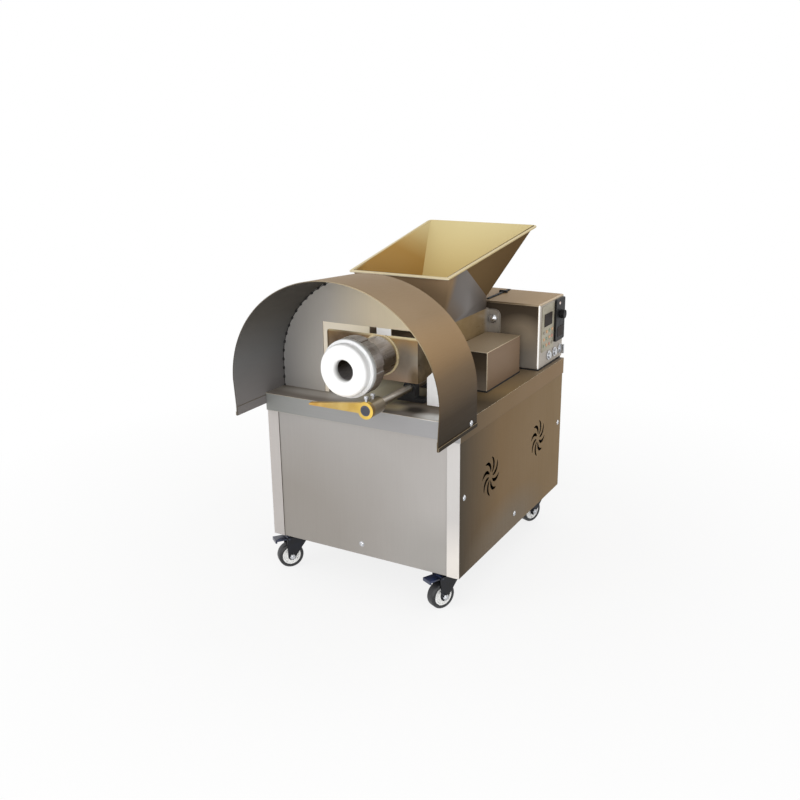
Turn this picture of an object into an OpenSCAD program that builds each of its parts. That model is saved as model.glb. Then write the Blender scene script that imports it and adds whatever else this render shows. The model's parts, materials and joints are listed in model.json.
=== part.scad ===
// Dough divider on castors: a hopper feeds an auger, which pushes dough through
// a round nozzle, and a turning knife cuts the pieces off under a guard hood.
// Millimetres, +Z up, front at -Y. Origin on the floor, below the middle of the box.

/* [Cabinet] */
// Width of the deck
cabinet_w = 500; // [460:1:620]
// Depth of the deck
cabinet_d = 614; // [600:1:720]
// Height from the cabinet floor to the deck top
cabinet_h = 355; // [300:1:450]
// Thickness of the sheet steel
sheet = 2; // [1.5:0.1:3]
// Height of the deck's turned-down edge
fascia_h = 41; // [24:1:45]
// Width of the corner posts that the side panels fold into
post_w = 30; // [20:1:45]
// Height of the floor tray's upturned edge
floor_lip_h = 20; // [12:1:22]
// Distance of the vent wheels from the front and the rear
vent_inset = 163; // [120:1:200]
// Height of the vent wheels
vent_h = 184; // [120:1:240]
// Outer radius of a vent wheel
vent_r = 46; // [30:1:60]
// Number of blades in a vent wheel
vent_blades = 8; // [5:1:10]

/* [Guard] */
// How far the hood reaches ahead of the deck
guard_reach = 105; // [80:1:140]
// Depth of the hood
guard_depth = 180; // [165:1:220]
// How far the hood's legs reach below the deck top
guard_drop = 25; // [18:1:30]
// Height above the deck where the hood is widest
guard_center_h = 59; // [30:1:80]
// Rise of the hood's crown over its widest level
guard_rise = 235; // [200:1:260]
// How far the hood bulges past the deck's sides
guard_bulge = 4; // [0:0.5:8]
// How much lower the hood's crown is at the rear than at the front
guard_taper = 12; // [0:1:20]
// Height of the folded hem on the hood's legs
hem_h = 9; // [5:1:14]
// Distance of the back plate's window from the hood's left side
window_left = 116; // [100:1:140]
// Distance of the back plate's window from the hood's right side
window_right = 78; // [65:1:100]
// Height of the window in the back plate
window_h = 166; // [155:1:180]
// How far the tab reaches into the window from its right edge
tab_left = 39; // [27:1:47]
// Top of the tab beside the window
tab_top = 83; // [50:1:90]
// Chamfer on the tab's corner
tab_chamfer = 15; // [4:1:20]
// Height of the gap under the tab
tab_gap = 6; // [4:1:14]
// Width of the window trim that shows on the left
trim_side = 10; // [6:1:14]
// Width of the window trim that shows on top
trim_top = 16; // [8:1:16]

/* [Feed] */
// Sideways offset of the auger from the middle
auger_x = 14; // [0:1:20]
// Height of the auger's axis above the deck
auger_h = 104; // [96:1:105]
// Radius of the auger's bore
bore_r = 42; // [38:1:43]
// Radial clearance around the auger's flight
flight_gap = 2; // [1:0.5:4]
// Radius of the auger's core
core_r = 15; // [13:1:18]
// Radius of the auger's shaft
auger_shaft_r = 12; // [9:1:12]
// Pitch of the flight
flight_pitch = 62; // [45:1:90]
// Thickness of the flight along the axis
flight_t = 9; // [5:1:14]
// Wall of the barrel tube
tube_wall = 2; // [1.5:0.5:4]
// Length of the barrel tube ahead of the chamber
tube_len = 123; // [112:1:130]
// Length of the ring nut
nut_len = 31; // [20:1:36]
// Outer radius of the ring nut
nut_r = 64; // [60:0.5:66]
// Length of the nozzle
nozzle_len = 35; // [30:1:40]
// Outer radius of the nozzle's flange
nozzle_r = 63.5; // [60:0.5:65]
// Outer radius of the nozzle's nose
nose_r = 57; // [50:0.5:58]
// Radius of the nozzle's outlet
outlet_r = 21; // [10:1:25]
// Width of the feed chamber
chamber_w = 186; // [160:1:192]
// Length of the feed chamber
chamber_len = 369; // [368:1:380]
// Height of the chamber's floor above the deck
chamber_floor_h = 48; // [47:1:50]
// Height of the feed chamber
chamber_tall = 102; // [98:1:110]
// Thickness of the flange behind the chamber
flange_t = 12; // [8:1:16]
// Distance of the flange bolts from the ends of the flange
ear_edge = 16; // [14:1:20]

/* [Hopper] */
// Thickness of the hopper's walls
hopper_wall = 2; // [1.5:0.1:3]
// Distance from the chamber's front to the hopper's neck
neck_setback = 110; // [90:1:115]
// Length of the neck
neck_len = 246; // [220:1:250]
// Height of the neck's rear edge over the chamber
neck_rise = 31; // [20:1:40]
// Half width of the rim at the front
rim_front_half = 130; // [120:1:150]
// Half width of the rim at the rear
rim_back_half = 158; // [140:1:180]
// How far the rim's front lies ahead of the neck
rim_front_lead = 8; // [4:1:20]
// Length of the rim from front to rear
rim_len = 455; // [430:1:470]
// Height of the rim's front edge above the deck
rim_front_h = 265; // [240:1:290]
// Height of the rim's rear edge above the deck
rim_back_h = 335; // [310:1:360]
// Width of the rim's folded lip
lip_w = 8; // [5:1:12]
// Thickness of the rim's folded lip
lip_t = 4; // [3:0.5:6]

/* [Knife] */
// Sideways distance of the knife's axis from the auger's
knife_dx = 62; // [60:1:64]
// Height of the knife's axis above the deck
knife_h = 31; // [29:0.5:32]
// Radius of the knife's shaft
knife_shaft_r = 9; // [7:0.5:10]
// Length of the knife's blade from the axis
blade_len = 141; // [120:1:150]
// Width of the blade at the ring
blade_w = 24; // [18:1:28]
// Width of the blade at the tip
blade_tip_w = 5; // [3:0.5:10]
// Thickness of the blade
blade_t = 10; // [6:1:12]
// Outer radius of the blade's ring
ring_r = 18.5; // [17:0.5:22]
// Radius of the knife's hub
hub_r = 18; // [15:0.5:20]
// Length of the knife's hub
hub_len = 52; // [45:1:56]
// Gap between the nozzle's face and the blade
knife_gap = 2; // [1:0.5:4]

/* [Covers] */
// Height of the rear boxes
box_h = 165; // [155:1:190]
// Distance of the rear boxes from the deck's sides
box_inset = 12; // [10:1:24]
// Distance of the seam between the rear boxes from the auger's axis
seam_dx = 78; // [72:1:82]
// Width of the gear cover
gear_cover_w = 90; // [86:1:95]
// Length of the gear cover
gear_cover_l = 193; // [185:1:200]
// Height of the gear cover
gear_cover_h = 94; // [70:1:110]
// Distance of the gear cover from the chamber's front
gear_cover_y = 155; // [150:1:160]

/* [Controls] */
// Width of the keypad
keypad_w = 82; // [66:1:84]
// Height of the keypad
keypad_h = 116; // [100:1:118]
// Width of the speed panel
speed_panel_w = 62; // [45:1:64]
// Height of the speed panel
speed_panel_h = 108; // [95:1:110]
// Radius of the speed knob
knob_r = 11; // [8:0.5:14]
// Radius of the push buttons
button_r = 8; // [6:0.5:10]
// Travel of the push buttons
button_travel = 3; // [2:0.5:4]

/* [Castors] */
// Height of the castors
castor_h = 90; // [86:1:100]
// Radius of the castor wheels
wheel_r = 31; // [28:0.5:32]
// Width of the castor wheels
wheel_w = 24; // [20:1:28]
// Distance of the swivel axes from the cabinet's sides and ends
castor_inset = 45; // [40:1:60]
// Distance of a wheel's axle from the swivel axis
castor_trail = 26; // [22:1:30]
// Heading of the castors: front left, front right, rear left, rear right
castor_turns = [-37, -26, -32, -22]; // [-180:1:180]

/* [Hidden] */
$fn = 64;
// Overrun of every cut
over = 1;
// Radial clearance of shafts and buttons that turn or slide
run_gap = 0.05;
// Gap between faces of pieces that move past each other
slip_gap = 0.3;
// Gap between fixed pieces with curved faces
seat_gap = 0.1;

deck_z = castor_h + cabinet_h;
panel_x = cabinet_w / 2 - sheet;
panel_h = cabinet_h - sheet;
inner_x = panel_x - sheet;
guard_r = cabinet_w / 2;
guard_back = guard_depth - guard_reach;
window_x0 = window_left - guard_r;
window_x1 = guard_r - window_right;
tab_x = window_x1 - tab_left;

// Row from the guard to the rear boxes, which have room for the controls
trim_t = 2;
chamber_gap = 3;
keypad_inset = 15;
panel_gap = 4;
panel_end = 6;
chamber_front = guard_back + trim_t + chamber_gap;
chamber_back = chamber_front + chamber_len;
box_front = chamber_back + flange_t;
controls_l = keypad_inset + keypad_w + panel_gap + speed_panel_w + panel_end;
box_back = max(cabinet_d - sheet, box_front + controls_l);

// Screws: head and shank
screw_head_r = 5.5;
screw_head_h = 3;
screw_r = 2.5;
screw_hole_r = screw_r + seat_gap;
screw_len = 3 * sheet;
// Radius of a screw's dome against that of its head
dome_share = 1.45;
// Places of the screws on a side panel: distance from the front, height
side_screw_low_h = 35;
side_screw_end = 24;
side_screws = [
    [side_screw_end, vent_h],
    [cabinet_d - side_screw_end, vent_h],
    [cabinet_d / 2, side_screw_low_h]
];
// Height of the screw low on the front and rear panels
end_screw_h = 27;
// Screw that holds the hood's leg to the deck
guard_screw_y = 46;
guard_screw_h = 9;
// Steps of the hood's arch, in degrees
arch_step = 4;

// Vent wheel: outline of a blade along its length
vent_inner_share = 0.2;
vent_half_share = 0.15;
vent_sweep = 38;
vent_end_power = 6;
vent_shares = [0, 0.12, 0.3, 0.5, 0.7, 0.84, 0.93, 0.98, 1];

// Trim behind the window
trim_lap = 12;
trim_round = 8;
trim_end = -11;
trim_notch = 18;
trim_block_w = 37;

// Feed chamber and what lines up with it
chamber_top = chamber_floor_h + chamber_tall;
chamber_wall = 17;
// Front plate that closes the window beside the chamber
front_plate_t = 5;
front_plate_lap = 6;
front_plate_left = window_x0 - front_plate_lap;
tube_r = bore_r + tube_wall;
tube_front = chamber_front - tube_len;
nozzle_face = tube_front - nozzle_len;
auger_r = bore_r - flight_gap;
auger_front = tube_front + nut_len;
auger_back = chamber_back - chamber_wall - flight_gap;
shaft_hole_r = auger_shaft_r + over;

// Collar where the tube joins the chamber
collar_w = 7;
collar_r = tube_r + collar_w;

// Nozzle: flange, edge rounding, land and flare of the outlet
nozzle_flange_t = 14;
nozzle_round = 13;
outlet_land = 10;
flare_w = 9;
flare_r = outlet_r + flare_w;
flare_len = 18;

// Ring nut: hook slots
nut_slots = 6;
nut_slot_w = 12;
nut_slot_d = 3;

// Bolts of the chamber's flange
ear_drop = 4;
ear_top = chamber_top - ear_drop;
ear_rise = 18;
ear_bottom = chamber_floor_h + ear_rise;
ear_round = 18;
ear_bolt_drop = 22;
ear_bolt_h = ear_top - ear_bolt_drop;
bolt_r = 5;
bolt_head_r = 11;
bolt_side_gap = 2;
ear_bolt_dx = chamber_w / 2 + bolt_head_r + bolt_side_gap;
flange_w = 2 * (ear_bolt_dx + ear_edge);
bolt_head_h = 9;
bolt_reach = 8;
bolt_len = flange_t + bolt_reach;
bolt_hole_r = bolt_r + seat_gap;

// Hopper outline
neck_front = chamber_front + neck_setback;
neck_back = neck_front + neck_len;
neck_left = auger_x - chamber_w / 2;
neck_right = auger_x + chamber_w / 2;
rim_front = neck_front - rim_front_lead;
rim_back = rim_front + rim_len;
rim_tilt = atan2(rim_back_h - rim_front_h, rim_len);
// Point on each side of the rim where the side wall's fold starts
fold_share = 0.25;
// Wall taken at the rim, where the walls slope more
rim_wall_share = 1.3;
rim_wall = hopper_wall * rim_wall_share;

// Overall middle, so that the origin lies below it
front_y = (guard_reach - rim_back) / 2;

// Knife and its drive
knife_x = auger_x + knife_dx;
blade_back = nozzle_face - knife_gap;
blade_front = blade_back - blade_t;
knife_bolt_r = 3;
knife_bolt_head_r = 5;
knife_bolt_head_h = 6;
// Bolts: one in the middle of the ring, the other on the hub
ring_bolt_y = blade_front + blade_t / 2;
knife_bolt_pitch = 26;
hub_bolt_y = ring_bolt_y + knife_bolt_pitch;
knife_bolt_stand = 6;
hub_nose_r = 11.5;
blade_top_share = 0.7;
knife_bearing_w = 22;
knife_bearing_gap = 2;
knife_bearing_r = chamber_floor_h - knife_h - knife_bearing_gap;
knife_foot_w = 76;
knife_foot_h = 10;
knife_bearing_setback = 20;
knife_bearing_front = guard_back + knife_bearing_setback;
cover_gap = 5;
cover_left = neck_right + cover_gap;
cover_front = chamber_front + gear_cover_y;
knife_bearing_lead = 10;
knife_bearing_rear = cover_front - knife_bearing_w - knife_bearing_lead;
pulley_r = 12;
pulley_w = 12;
pulley_setback = 16;
pulley_y = cover_front + pulley_setback;
belt_t = 2.2;
belt_r = pulley_r + slip_gap;
belt_slot_gap = 4;
motor_x = cover_left + gear_cover_w / 2;
motor_r = 28;
motor_plate_t = 6;
motor_gap = 12;
motor_y = pulley_y + pulley_w + motor_gap;
motor_len = 118;
motor_shaft_r = 5;
motor_bore_len = 14;

// Main drive in the cabinet
// The chain runs behind the boxes' front wall, and ahead of the rear panel on a short deck
chain_setback = 49;
chain_w = 12;
chain_room = 8;
chain_rear = cabinet_d - 3 * sheet - chain_w / 2 - chain_room;
chain_y = min(box_front + chain_setback, chain_rear);
sprocket_r = 45;
sprocket_w = 8;
sprocket_teeth = 18;
tooth_h = 5;
// Outline of a tooth: share of the pitch, share of the height
tooth_shares = [[0, 0], [0.25, 1], [0.5, 1], [0.75, 0]];
// Steps of the flight in one turn, and sides of its section
flight_steps = 10;
section_sides = 14;
chain_t = 6;
chain_r = sprocket_r + slip_gap;
chain_slot_gap = 4;
bearing_r = 34;
bearing_nose_r = 22;
bearing_t = 10;
bearing_nose = 12;
reducer_w = 120;
reducer_l = 100;
reducer_h = 138;
reducer_axis_h = 76;
reducer_gap = 25;
reducer_back = chain_y - reducer_gap;
reducer_bore_len = 40;
drive_motor_r = 60;
drive_motor_len = 210;
terminal_w = 70;
terminal_l = 80;
terminal_h = 34;

// Rear boxes and controls; the lip closes the boxes where they overhang the deck
box_right = cabinet_w / 2 - box_inset;
box_lip = 22;
seam_x = auger_x + seam_dx;
strip_w = 7;
strip_t = 3;
strip_inset = 16;
clip_w = 22;
clip_l = 8;
clip_inset = 58;
clip_y = box_back - clip_inset;
panel_round = 5;
keypad_t = 1.5;
keypad_y = box_front + keypad_inset;
keypad_z = 42;
window_t = 1;
display_w = 52;
display_h = 32;
display_rise = 62;
display_z = keypad_z + display_rise;
speed_panel_t = 6;
speed_panel_y = keypad_y + keypad_w + panel_gap;
speed_panel_rise = 10;
speed_panel_z = keypad_z + speed_panel_rise;
knob_len = 11.5;
knob_shaft_r = 3;
knob_drop = 40;
knob_y = speed_panel_y + speed_panel_w / 2;
knob_z = speed_panel_z + speed_panel_h - knob_drop;
knob_mark_w = 2.4;
knob_mark_d = 1;
switch_z = 26;
switch_pitch = 40;
switch_inset = 65;
switch_y = box_front + switch_inset;
bezel_r = 12;
bezel_t = 4;
button_rest = 1;
button_head = button_travel + button_rest;
button_flange_t = 2;
selector_bar_w = 5;
selector_bar_h = 9;

// Rear louvres and cable gland
louvre_w = 130;
louvre_h = 6;
louvre_pitch = 18;
louvres = 7;
louvre_z = 150;
gland_x = -150;
gland_z = 80;
gland_r = 12;
gland_neck_r = 8;
gland_bore_r = 4.5;
gland_len = 22;
gland_nut_len = 7;

// Castors
castor_plate_w = 62;
castor_plate_l = 56;
castor_plate_t = 3;
race_r = 22;
race_h = 6;
king_r = 6;
crown_t = 7;
crown_top = castor_h - castor_plate_t - race_h - slip_gap;
crown_z = crown_top - crown_t;
arm_t = 2.5;
arm_gap = 2.2;
arm_x = wheel_w / 2 + arm_gap;
axle_r = 4;
axle_boss_r = 10;
axle_nut_r = 7;
axle_nut_t = 5;
tread_round = 5;
tyre_t = 8;
rim_r = wheel_r - tyre_t;
rim_step = 3;
rim_w = wheel_w - rim_step;
dish_rim = 4;
hub_dish_r = rim_r - dish_rim;
hub_dish = 4;
hub_core_r = 9;
pedal_r = 5;
pedal_pin_r = 2.5;
pedal_lead = 5;
pedal_y = castor_trail + pedal_lead;
pedal_rise = 3;
pedal_z = crown_z + pedal_rise;
pedal_l = 30;
pedal_t = 4;
pedal_lip_h = 6;
pedal_gap = 2;
crown_l = pedal_y - pedal_r - pedal_gap;
crown_rear = 16;
castor_places = [[-1, 0], [1, 0], [-1, 1], [1, 1]];

// Colours of the finishes
steel = [0.72, 0.72, 0.70];
warm_steel = [0.55, 0.50, 0.43];
gold_steel = [0.80, 0.72, 0.52];
dark_steel = [0.36, 0.33, 0.30];
bright = [0.86, 0.87, 0.88];
nylon = [0.96, 0.96, 0.95];
blade_yellow = [0.86, 0.68, 0.28];
black = [0.09, 0.09, 0.10];
rubber = [0.16, 0.16, 0.17];
grey_paint = [0.34, 0.38, 0.40];

// Places: from the deck's front edge, at deck height or at cabinet floor height
module on_deck() {
    translate([0, front_y, deck_z]) children();
}

module on_floor() {
    translate([0, front_y, castor_h]) children();
}

// Flat outline of X and Z, thickened towards the rear
module plate_y(y, t) {
    translate([0, y + t, 0]) rotate([90, 0, 0]) linear_extrude(t) children();
}

// Flat outline of Y and Z, thickened towards the right
module plate_x(x, t) {
    translate([x, 0, 0]) rotate([90, 0, 90]) linear_extrude(t) children();
}

module rod_y(r, len) {
    rotate([-90, 0, 0]) cylinder(r = r, h = len);
}

module rod_x(r, len) {
    rotate([0, 90, 0]) cylinder(r = r, h = len);
}

// Box with walls of sheet and an open bottom
module open_cover(size) {
    difference() {
        cube(size);
        translate([sheet, sheet, -over])
            cube([size.x - 2 * sheet, size.y - 2 * sheet, size.z - sheet + over]);
    }
}

// Domed head with its shank, pointing along +Z
module domed_bolt(head_r, head_h, shank_r, shank_len) {
    dome_r = head_r * dome_share;
    rotate_extrude() intersection() {
        square([head_r, head_h]);
        translate([0, head_h - dome_r]) circle(r = dome_r);
    }
    translate([0, 0, -shank_len]) cylinder(r = shank_r, h = shank_len);
}

module screw() {
    domed_bolt(screw_head_r, screw_head_h, screw_r, screw_len);
}

module rounded_rect(w, h, r) {
    translate([r, 0]) square([w - 2 * r, h]);
    translate([0, r]) square([w, h - 2 * r]);
    for (x = [r, w - r], y = [r, h - r]) translate([x, y]) circle(r = r);
}

// Round-ended outline along X, from one centre to the other
module stadium(r, len) {
    circle(r = r);
    translate([len, 0]) circle(r = r);
    translate([0, -r]) square([len, 2 * r]);
}

// Cabinet
function vent_point(s, side) =
    let (reach = vent_r * (vent_inner_share + (1 - vent_inner_share) * s))
    let (turn = vent_sweep * s * s)
    let (half = vent_r * vent_half_share * sqrt(s) * sqrt(1 - pow(s, vent_end_power)))
    [reach * cos(turn) - side * half * sin(turn), reach * sin(turn) + side * half * cos(turn)];

module vent_wheel() {
    outer_side = [for (s = vent_shares) vent_point(s, 1)];
    inner_side = [for (i = [len(vent_shares) - 2:-1:1]) vent_point(vent_shares[i], -1)];
    for (i = [0:vent_blades - 1])
        rotate(i * 360 / vent_blades) polygon(concat(outer_side, inner_side));
}

module side_sheet() {
    difference() {
        translate([sheet, 0]) square([cabinet_d - 2 * sheet, panel_h]);
        for (y = [vent_inset, cabinet_d - vent_inset]) translate([y, vent_h]) vent_wheel();
        for (place = side_screws) translate(place) circle(r = screw_hole_r);
        translate([guard_screw_y, cabinet_h - guard_screw_h]) circle(r = screw_hole_r);
    }
}

module side_panel() {
    plate_x(panel_x - sheet, sheet) side_sheet();
    for (y = [sheet, cabinet_d - 2 * sheet])
        translate([panel_x - post_w, y, 0]) cube([post_w, sheet, panel_h]);
}

module left_side_panel() {
    color(warm_steel) on_floor() mirror([1, 0, 0]) side_panel();
}

module right_side_panel() {
    color(warm_steel) on_floor() side_panel();
}

module end_sheet() {
    difference() {
        translate([-inner_x, 0]) square([2 * inner_x, panel_h]);
        translate([0, end_screw_h]) circle(r = screw_hole_r);
    }
}

module front_panel() {
    color(steel) on_floor() plate_y(2 * sheet, sheet) end_sheet();
}

module rear_panel() {
    color(steel) on_floor() plate_y(cabinet_d - 3 * sheet, sheet) difference() {
        end_sheet();
        for (i = [0:louvres - 1])
            translate([-louvre_w / 2, louvre_z + i * louvre_pitch])
                rounded_rect(louvre_w, louvre_h, louvre_h / 2 - seat_gap);
        translate([gland_x, gland_z]) circle(r = gland_neck_r + seat_gap);
    }
}

module floor_tray() {
    tray_d = cabinet_d - 6 * sheet;
    color(dark_steel) on_floor() translate([-inner_x, 3 * sheet, 0]) difference() {
        cube([2 * inner_x, tray_d, floor_lip_h]);
        translate([sheet, sheet, sheet])
            cube([2 * inner_x - 2 * sheet, tray_d - 2 * sheet, floor_lip_h]);
    }
}

module guard_screw_holes() {
    translate([-guard_r - sheet - over, guard_screw_y, -guard_screw_h])
        rod_x(screw_hole_r, 2 * (guard_r + sheet + over));
}

module deck() {
    slot_w = 2 * (chain_r + chain_t + chain_slot_gap);
    slot_d = chain_w + 2 * chain_slot_gap;
    color(steel) on_deck() difference() {
        translate([-cabinet_w / 2, 0, -fascia_h]) cube([cabinet_w, cabinet_d, fascia_h]);
        translate([-panel_x, sheet, -fascia_h - over])
            cube([2 * panel_x, cabinet_d - 2 * sheet, fascia_h - sheet + over]);
        translate([auger_x - slot_w / 2, chain_y - slot_d / 2, -sheet - over])
            cube([slot_w, slot_d, sheet + 2 * over]);
        guard_screw_holes();
    }
}

module panel_screws() {
    color(bright) on_floor() {
        for (side = [-1, 1]) {
            for (place = side_screws)
                translate([side * panel_x, place.x, place.y]) rotate([0, side * 90, 0]) screw();
            translate([side * (guard_r + sheet), guard_screw_y, cabinet_h - guard_screw_h])
                rotate([0, side * 90, 0]) screw();
        }
        translate([0, 2 * sheet, end_screw_h]) rotate([90, 0, 0]) screw();
        translate([0, cabinet_d - 2 * sheet, end_screw_h]) rotate([-90, 0, 0]) screw();
    }
}

// Guard
// Line of the hood's sheet at a share of the way from its front to its rear
function arch_line(r, drop, share) =
    let (
        wide = r + guard_bulge * (1 - share),
        rise = guard_rise - guard_taper * share + r - guard_r,
        crown = [for (a = [0:arch_step:180]) [wide * cos(a), guard_center_h + rise * sin(a)]]
    )
    concat([[r, -drop], [r, 0]], crown, [[-r, 0], [-r, -drop]]);

function set_back(line, y) = [for (p = line) [p.x, y, p.y]];

// Sheet between an outer and an inner line, front and rear
module hood_sheet() {
    outer_front = set_back(arch_line(guard_r + sheet, guard_drop, 0), -guard_reach);
    outer_rear = set_back(arch_line(guard_r + sheet, guard_drop, 1), guard_back);
    inner_front = set_back(arch_line(guard_r, guard_drop, 0), -guard_reach);
    inner_rear = set_back(arch_line(guard_r, guard_drop, 1), guard_back);
    n = len(outer_front);
    steps = [0:n - 2];
    last = n - 1;
    polyhedron(
        concat(outer_front, outer_rear, inner_front, inner_rear),
        concat(
            [for (i = steps) [i, i + 1, n + i + 1]],
            [for (i = steps) [i, n + i + 1, n + i]],
            [for (i = steps) [2 * n + i + 1, 2 * n + i, 3 * n + i]],
            [for (i = steps) [2 * n + i + 1, 3 * n + i, 3 * n + i + 1]],
            [for (i = steps) [i, 2 * n + i, 2 * n + i + 1, i + 1]],
            [for (i = steps) [n + i, n + i + 1, 3 * n + i + 1, 3 * n + i]],
            [[0, n, 3 * n, 2 * n], [last, 2 * n + last, 3 * n + last, n + last]]
        )
    );
}

module guard_hood() {
    color(warm_steel) on_deck() difference() {
        union() {
            hood_sheet();
            for (x = [-guard_r - 2 * sheet, guard_r + sheet])
                translate([x, -guard_reach, -guard_drop]) cube([sheet, guard_depth, hem_h]);
        }
        guard_screw_holes();
    }
}

module guard_back_plate() {
    color(steel) on_deck() plate_y(guard_back - sheet, sheet) difference() {
        polygon(arch_line(guard_r - seat_gap, 0, 1));
        polygon([
            [window_x0, -over],
            [window_x1, -over],
            [window_x1, tab_gap],
            [tab_x, tab_gap],
            [tab_x, tab_top - tab_chamfer],
            [tab_x + tab_chamfer, tab_top],
            [window_x1, tab_top],
            [window_x1, window_h],
            [window_x0, window_h]
        ]);
    }
}

// Angled strip behind the window's left and top edges, and a short block beside it
module window_trim() {
    inner_left = window_x0 + trim_side;
    inner_top = window_h - trim_top;
    outer_top = window_h + trim_lap;
    corner = [
        for (a = [180:-15:90])
            [inner_left + trim_round * (1 + cos(a)), inner_top - trim_round * (1 - sin(a))]
    ];
    color(gold_steel) on_deck() plate_y(guard_back, trim_t) {
        polygon(concat(
            [[window_x0 - trim_lap, 0], [inner_left, 0]],
            corner,
            [[trim_end, inner_top], [trim_end, outer_top], [window_x0 - trim_lap, outer_top]]
        ));
        translate([trim_end + trim_notch, inner_top]) square([trim_block_w, outer_top - inner_top]);
    }
}

// Feed
module flange_outline() {
    half = flange_w / 2;
    translate([auger_x - half, ear_bottom]) square([flange_w, ear_top - ear_round - ear_bottom]);
    translate([auger_x - half + ear_round, ear_bottom])
        square([flange_w - 2 * ear_round, ear_top - ear_bottom]);
    for (side = [-1, 1])
        translate([auger_x + side * (half - ear_round), ear_top - ear_round]) circle(r = ear_round);
}

module feed_chamber() {
    throat_half = chamber_w / 2 - hopper_wall;
    color(warm_steel) on_deck() difference() {
        union() {
            translate([neck_left, chamber_front, chamber_floor_h])
                cube([chamber_w, chamber_len, chamber_tall]);
            translate([front_plate_left, chamber_front, chamber_floor_h])
                cube([neck_right - front_plate_left, front_plate_t, chamber_tall]);
            plate_y(chamber_back, flange_t) flange_outline();
        }
        translate([auger_x, chamber_front - over, auger_h])
            rod_y(bore_r, chamber_len - chamber_wall + over);
        plate_y(neck_front + hopper_wall, neck_len - 2 * hopper_wall) polygon([
            [auger_x - bore_r + flight_gap, auger_h],
            [auger_x + bore_r - flight_gap, auger_h],
            [auger_x + throat_half, chamber_top + over],
            [auger_x - throat_half, chamber_top + over]
        ]);
        translate([auger_x, chamber_back - chamber_wall - over, auger_h])
            rod_y(shaft_hole_r, chamber_wall + flange_t + 2 * over);
        for (side = [-1, 1])
            translate([auger_x + side * ear_bolt_dx, chamber_back - over, ear_bolt_h])
                rod_y(bolt_hole_r, flange_t + 2 * over);
    }
}

module chamber_bolts() {
    color(bright) on_deck() for (side = [-1, 1])
        translate([auger_x + side * ear_bolt_dx, chamber_back, ear_bolt_h]) rotate([90, 0, 0])
            domed_bolt(bolt_head_r, bolt_head_h, bolt_r, bolt_len);
}

module barrel_tube() {
    color(warm_steel) on_deck() translate([auger_x, tube_front, auger_h]) difference() {
        union() {
            rod_y(tube_r, tube_len);
            translate([0, tube_len - chamber_gap, 0]) rod_y(collar_r, chamber_gap);
        }
        translate([0, -over, 0]) rod_y(bore_r, tube_len + 2 * over);
    }
}

module ring_nut() {
    color(dark_steel) on_deck() translate([auger_x, tube_front, auger_h]) difference() {
        rod_y(nut_r, nut_len);
        translate([0, -over, 0]) rod_y(tube_r + seat_gap, nut_len + 2 * over);
        for (i = [0:nut_slots - 1]) rotate([0, i * 360 / nut_slots, 0])
            translate([nut_r - nut_slot_d, -over, -nut_slot_w / 2])
                cube([nut_slot_d + over, nut_len + 2 * over, nut_slot_w]);
    }
}

module outlet_nozzle() {
    edge = [
        for (a = [0:15:90])
            [nose_r - nozzle_round * (1 - sin(a)), nozzle_round * (1 - cos(a))]
    ];
    color(nylon) on_deck() translate([auger_x, nozzle_face, auger_h]) rotate([-90, 0, 0])
        rotate_extrude() polygon(concat(
            [[flare_r, 0]],
            edge,
            [
                [nose_r, nozzle_len - nozzle_flange_t],
                [nozzle_r, nozzle_len - nozzle_flange_t],
                [nozzle_r, nozzle_len],
                [bore_r, nozzle_len],
                [outlet_r, flare_len + outlet_land],
                [outlet_r, flare_len]
            ]
        ));
}

// Cross-section of the auger: its core and one flight
module flight_section() {
    half = 180 * flight_t / flight_pitch;
    circle(r = core_r);
    polygon(concat(
        [[0, 0]],
        [for (a = [-half:half / 2:half]) auger_r * [cos(a), sin(a)]]
    ));
}

module auger_screw() {
    screw_l = auger_back - auger_front;
    turns = screw_l / flight_pitch;
    slices = ceil(turns * flight_steps);
    color(bright) on_deck() translate([auger_x, auger_back, auger_h]) rotate([90, 0, 0])
        linear_extrude(height = screw_l, twist = 360 * turns, slices = slices, $fn = section_sides)
            flight_section();
}

module auger_shaft() {
    color(bright) on_deck() translate([auger_x, auger_back, auger_h])
        rod_y(auger_shaft_r, chain_y + chain_w - auger_back);
}

module auger_bearing() {
    color(black) on_deck() translate([auger_x, box_front + sheet, auger_h]) difference() {
        union() {
            rod_y(bearing_r, bearing_t);
            rod_y(bearing_nose_r, bearing_t + bearing_nose);
        }
        translate([0, -over, 0])
            rod_y(auger_shaft_r + run_gap, bearing_t + bearing_nose + 2 * over);
    }
}

// Sprocket in the XZ plane, its middle at the origin
module sprocket_wheel() {
    step = 360 / sprocket_teeth;
    root_r = sprocket_r - tooth_h;
    plate_y(-sprocket_w / 2, sprocket_w) polygon([
        for (i = [0:sprocket_teeth - 1], share = tooth_shares)
            (share[1] * tooth_h + root_r) * [cos((i + share[0]) * step), sin((i + share[0]) * step)]
    ]);
}

module auger_sprocket() {
    color(dark_steel) on_deck() translate([auger_x, chain_y, auger_h]) difference() {
        sprocket_wheel();
        translate([0, -sprocket_w, 0]) rod_y(auger_shaft_r, 2 * sprocket_w);
    }
}

module drive_sprocket() {
    shaft_l = chain_y + sprocket_w / 2 - reducer_back + reducer_bore_len - over;
    color(dark_steel) on_floor() translate([auger_x, chain_y, reducer_axis_h]) {
        sprocket_wheel();
        translate([0, sprocket_w / 2 - shaft_l, 0]) rod_y(auger_shaft_r, shaft_l);
    }
}

module drive_chain() {
    rise = cabinet_h + auger_h - reducer_axis_h;
    color(dark_steel) on_floor() translate([auger_x, 0, reducer_axis_h])
        plate_y(chain_y - chain_w / 2, chain_w) rotate(90) difference() {
            stadium(chain_r + chain_t, rise);
            stadium(chain_r, rise);
        }
}

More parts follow.
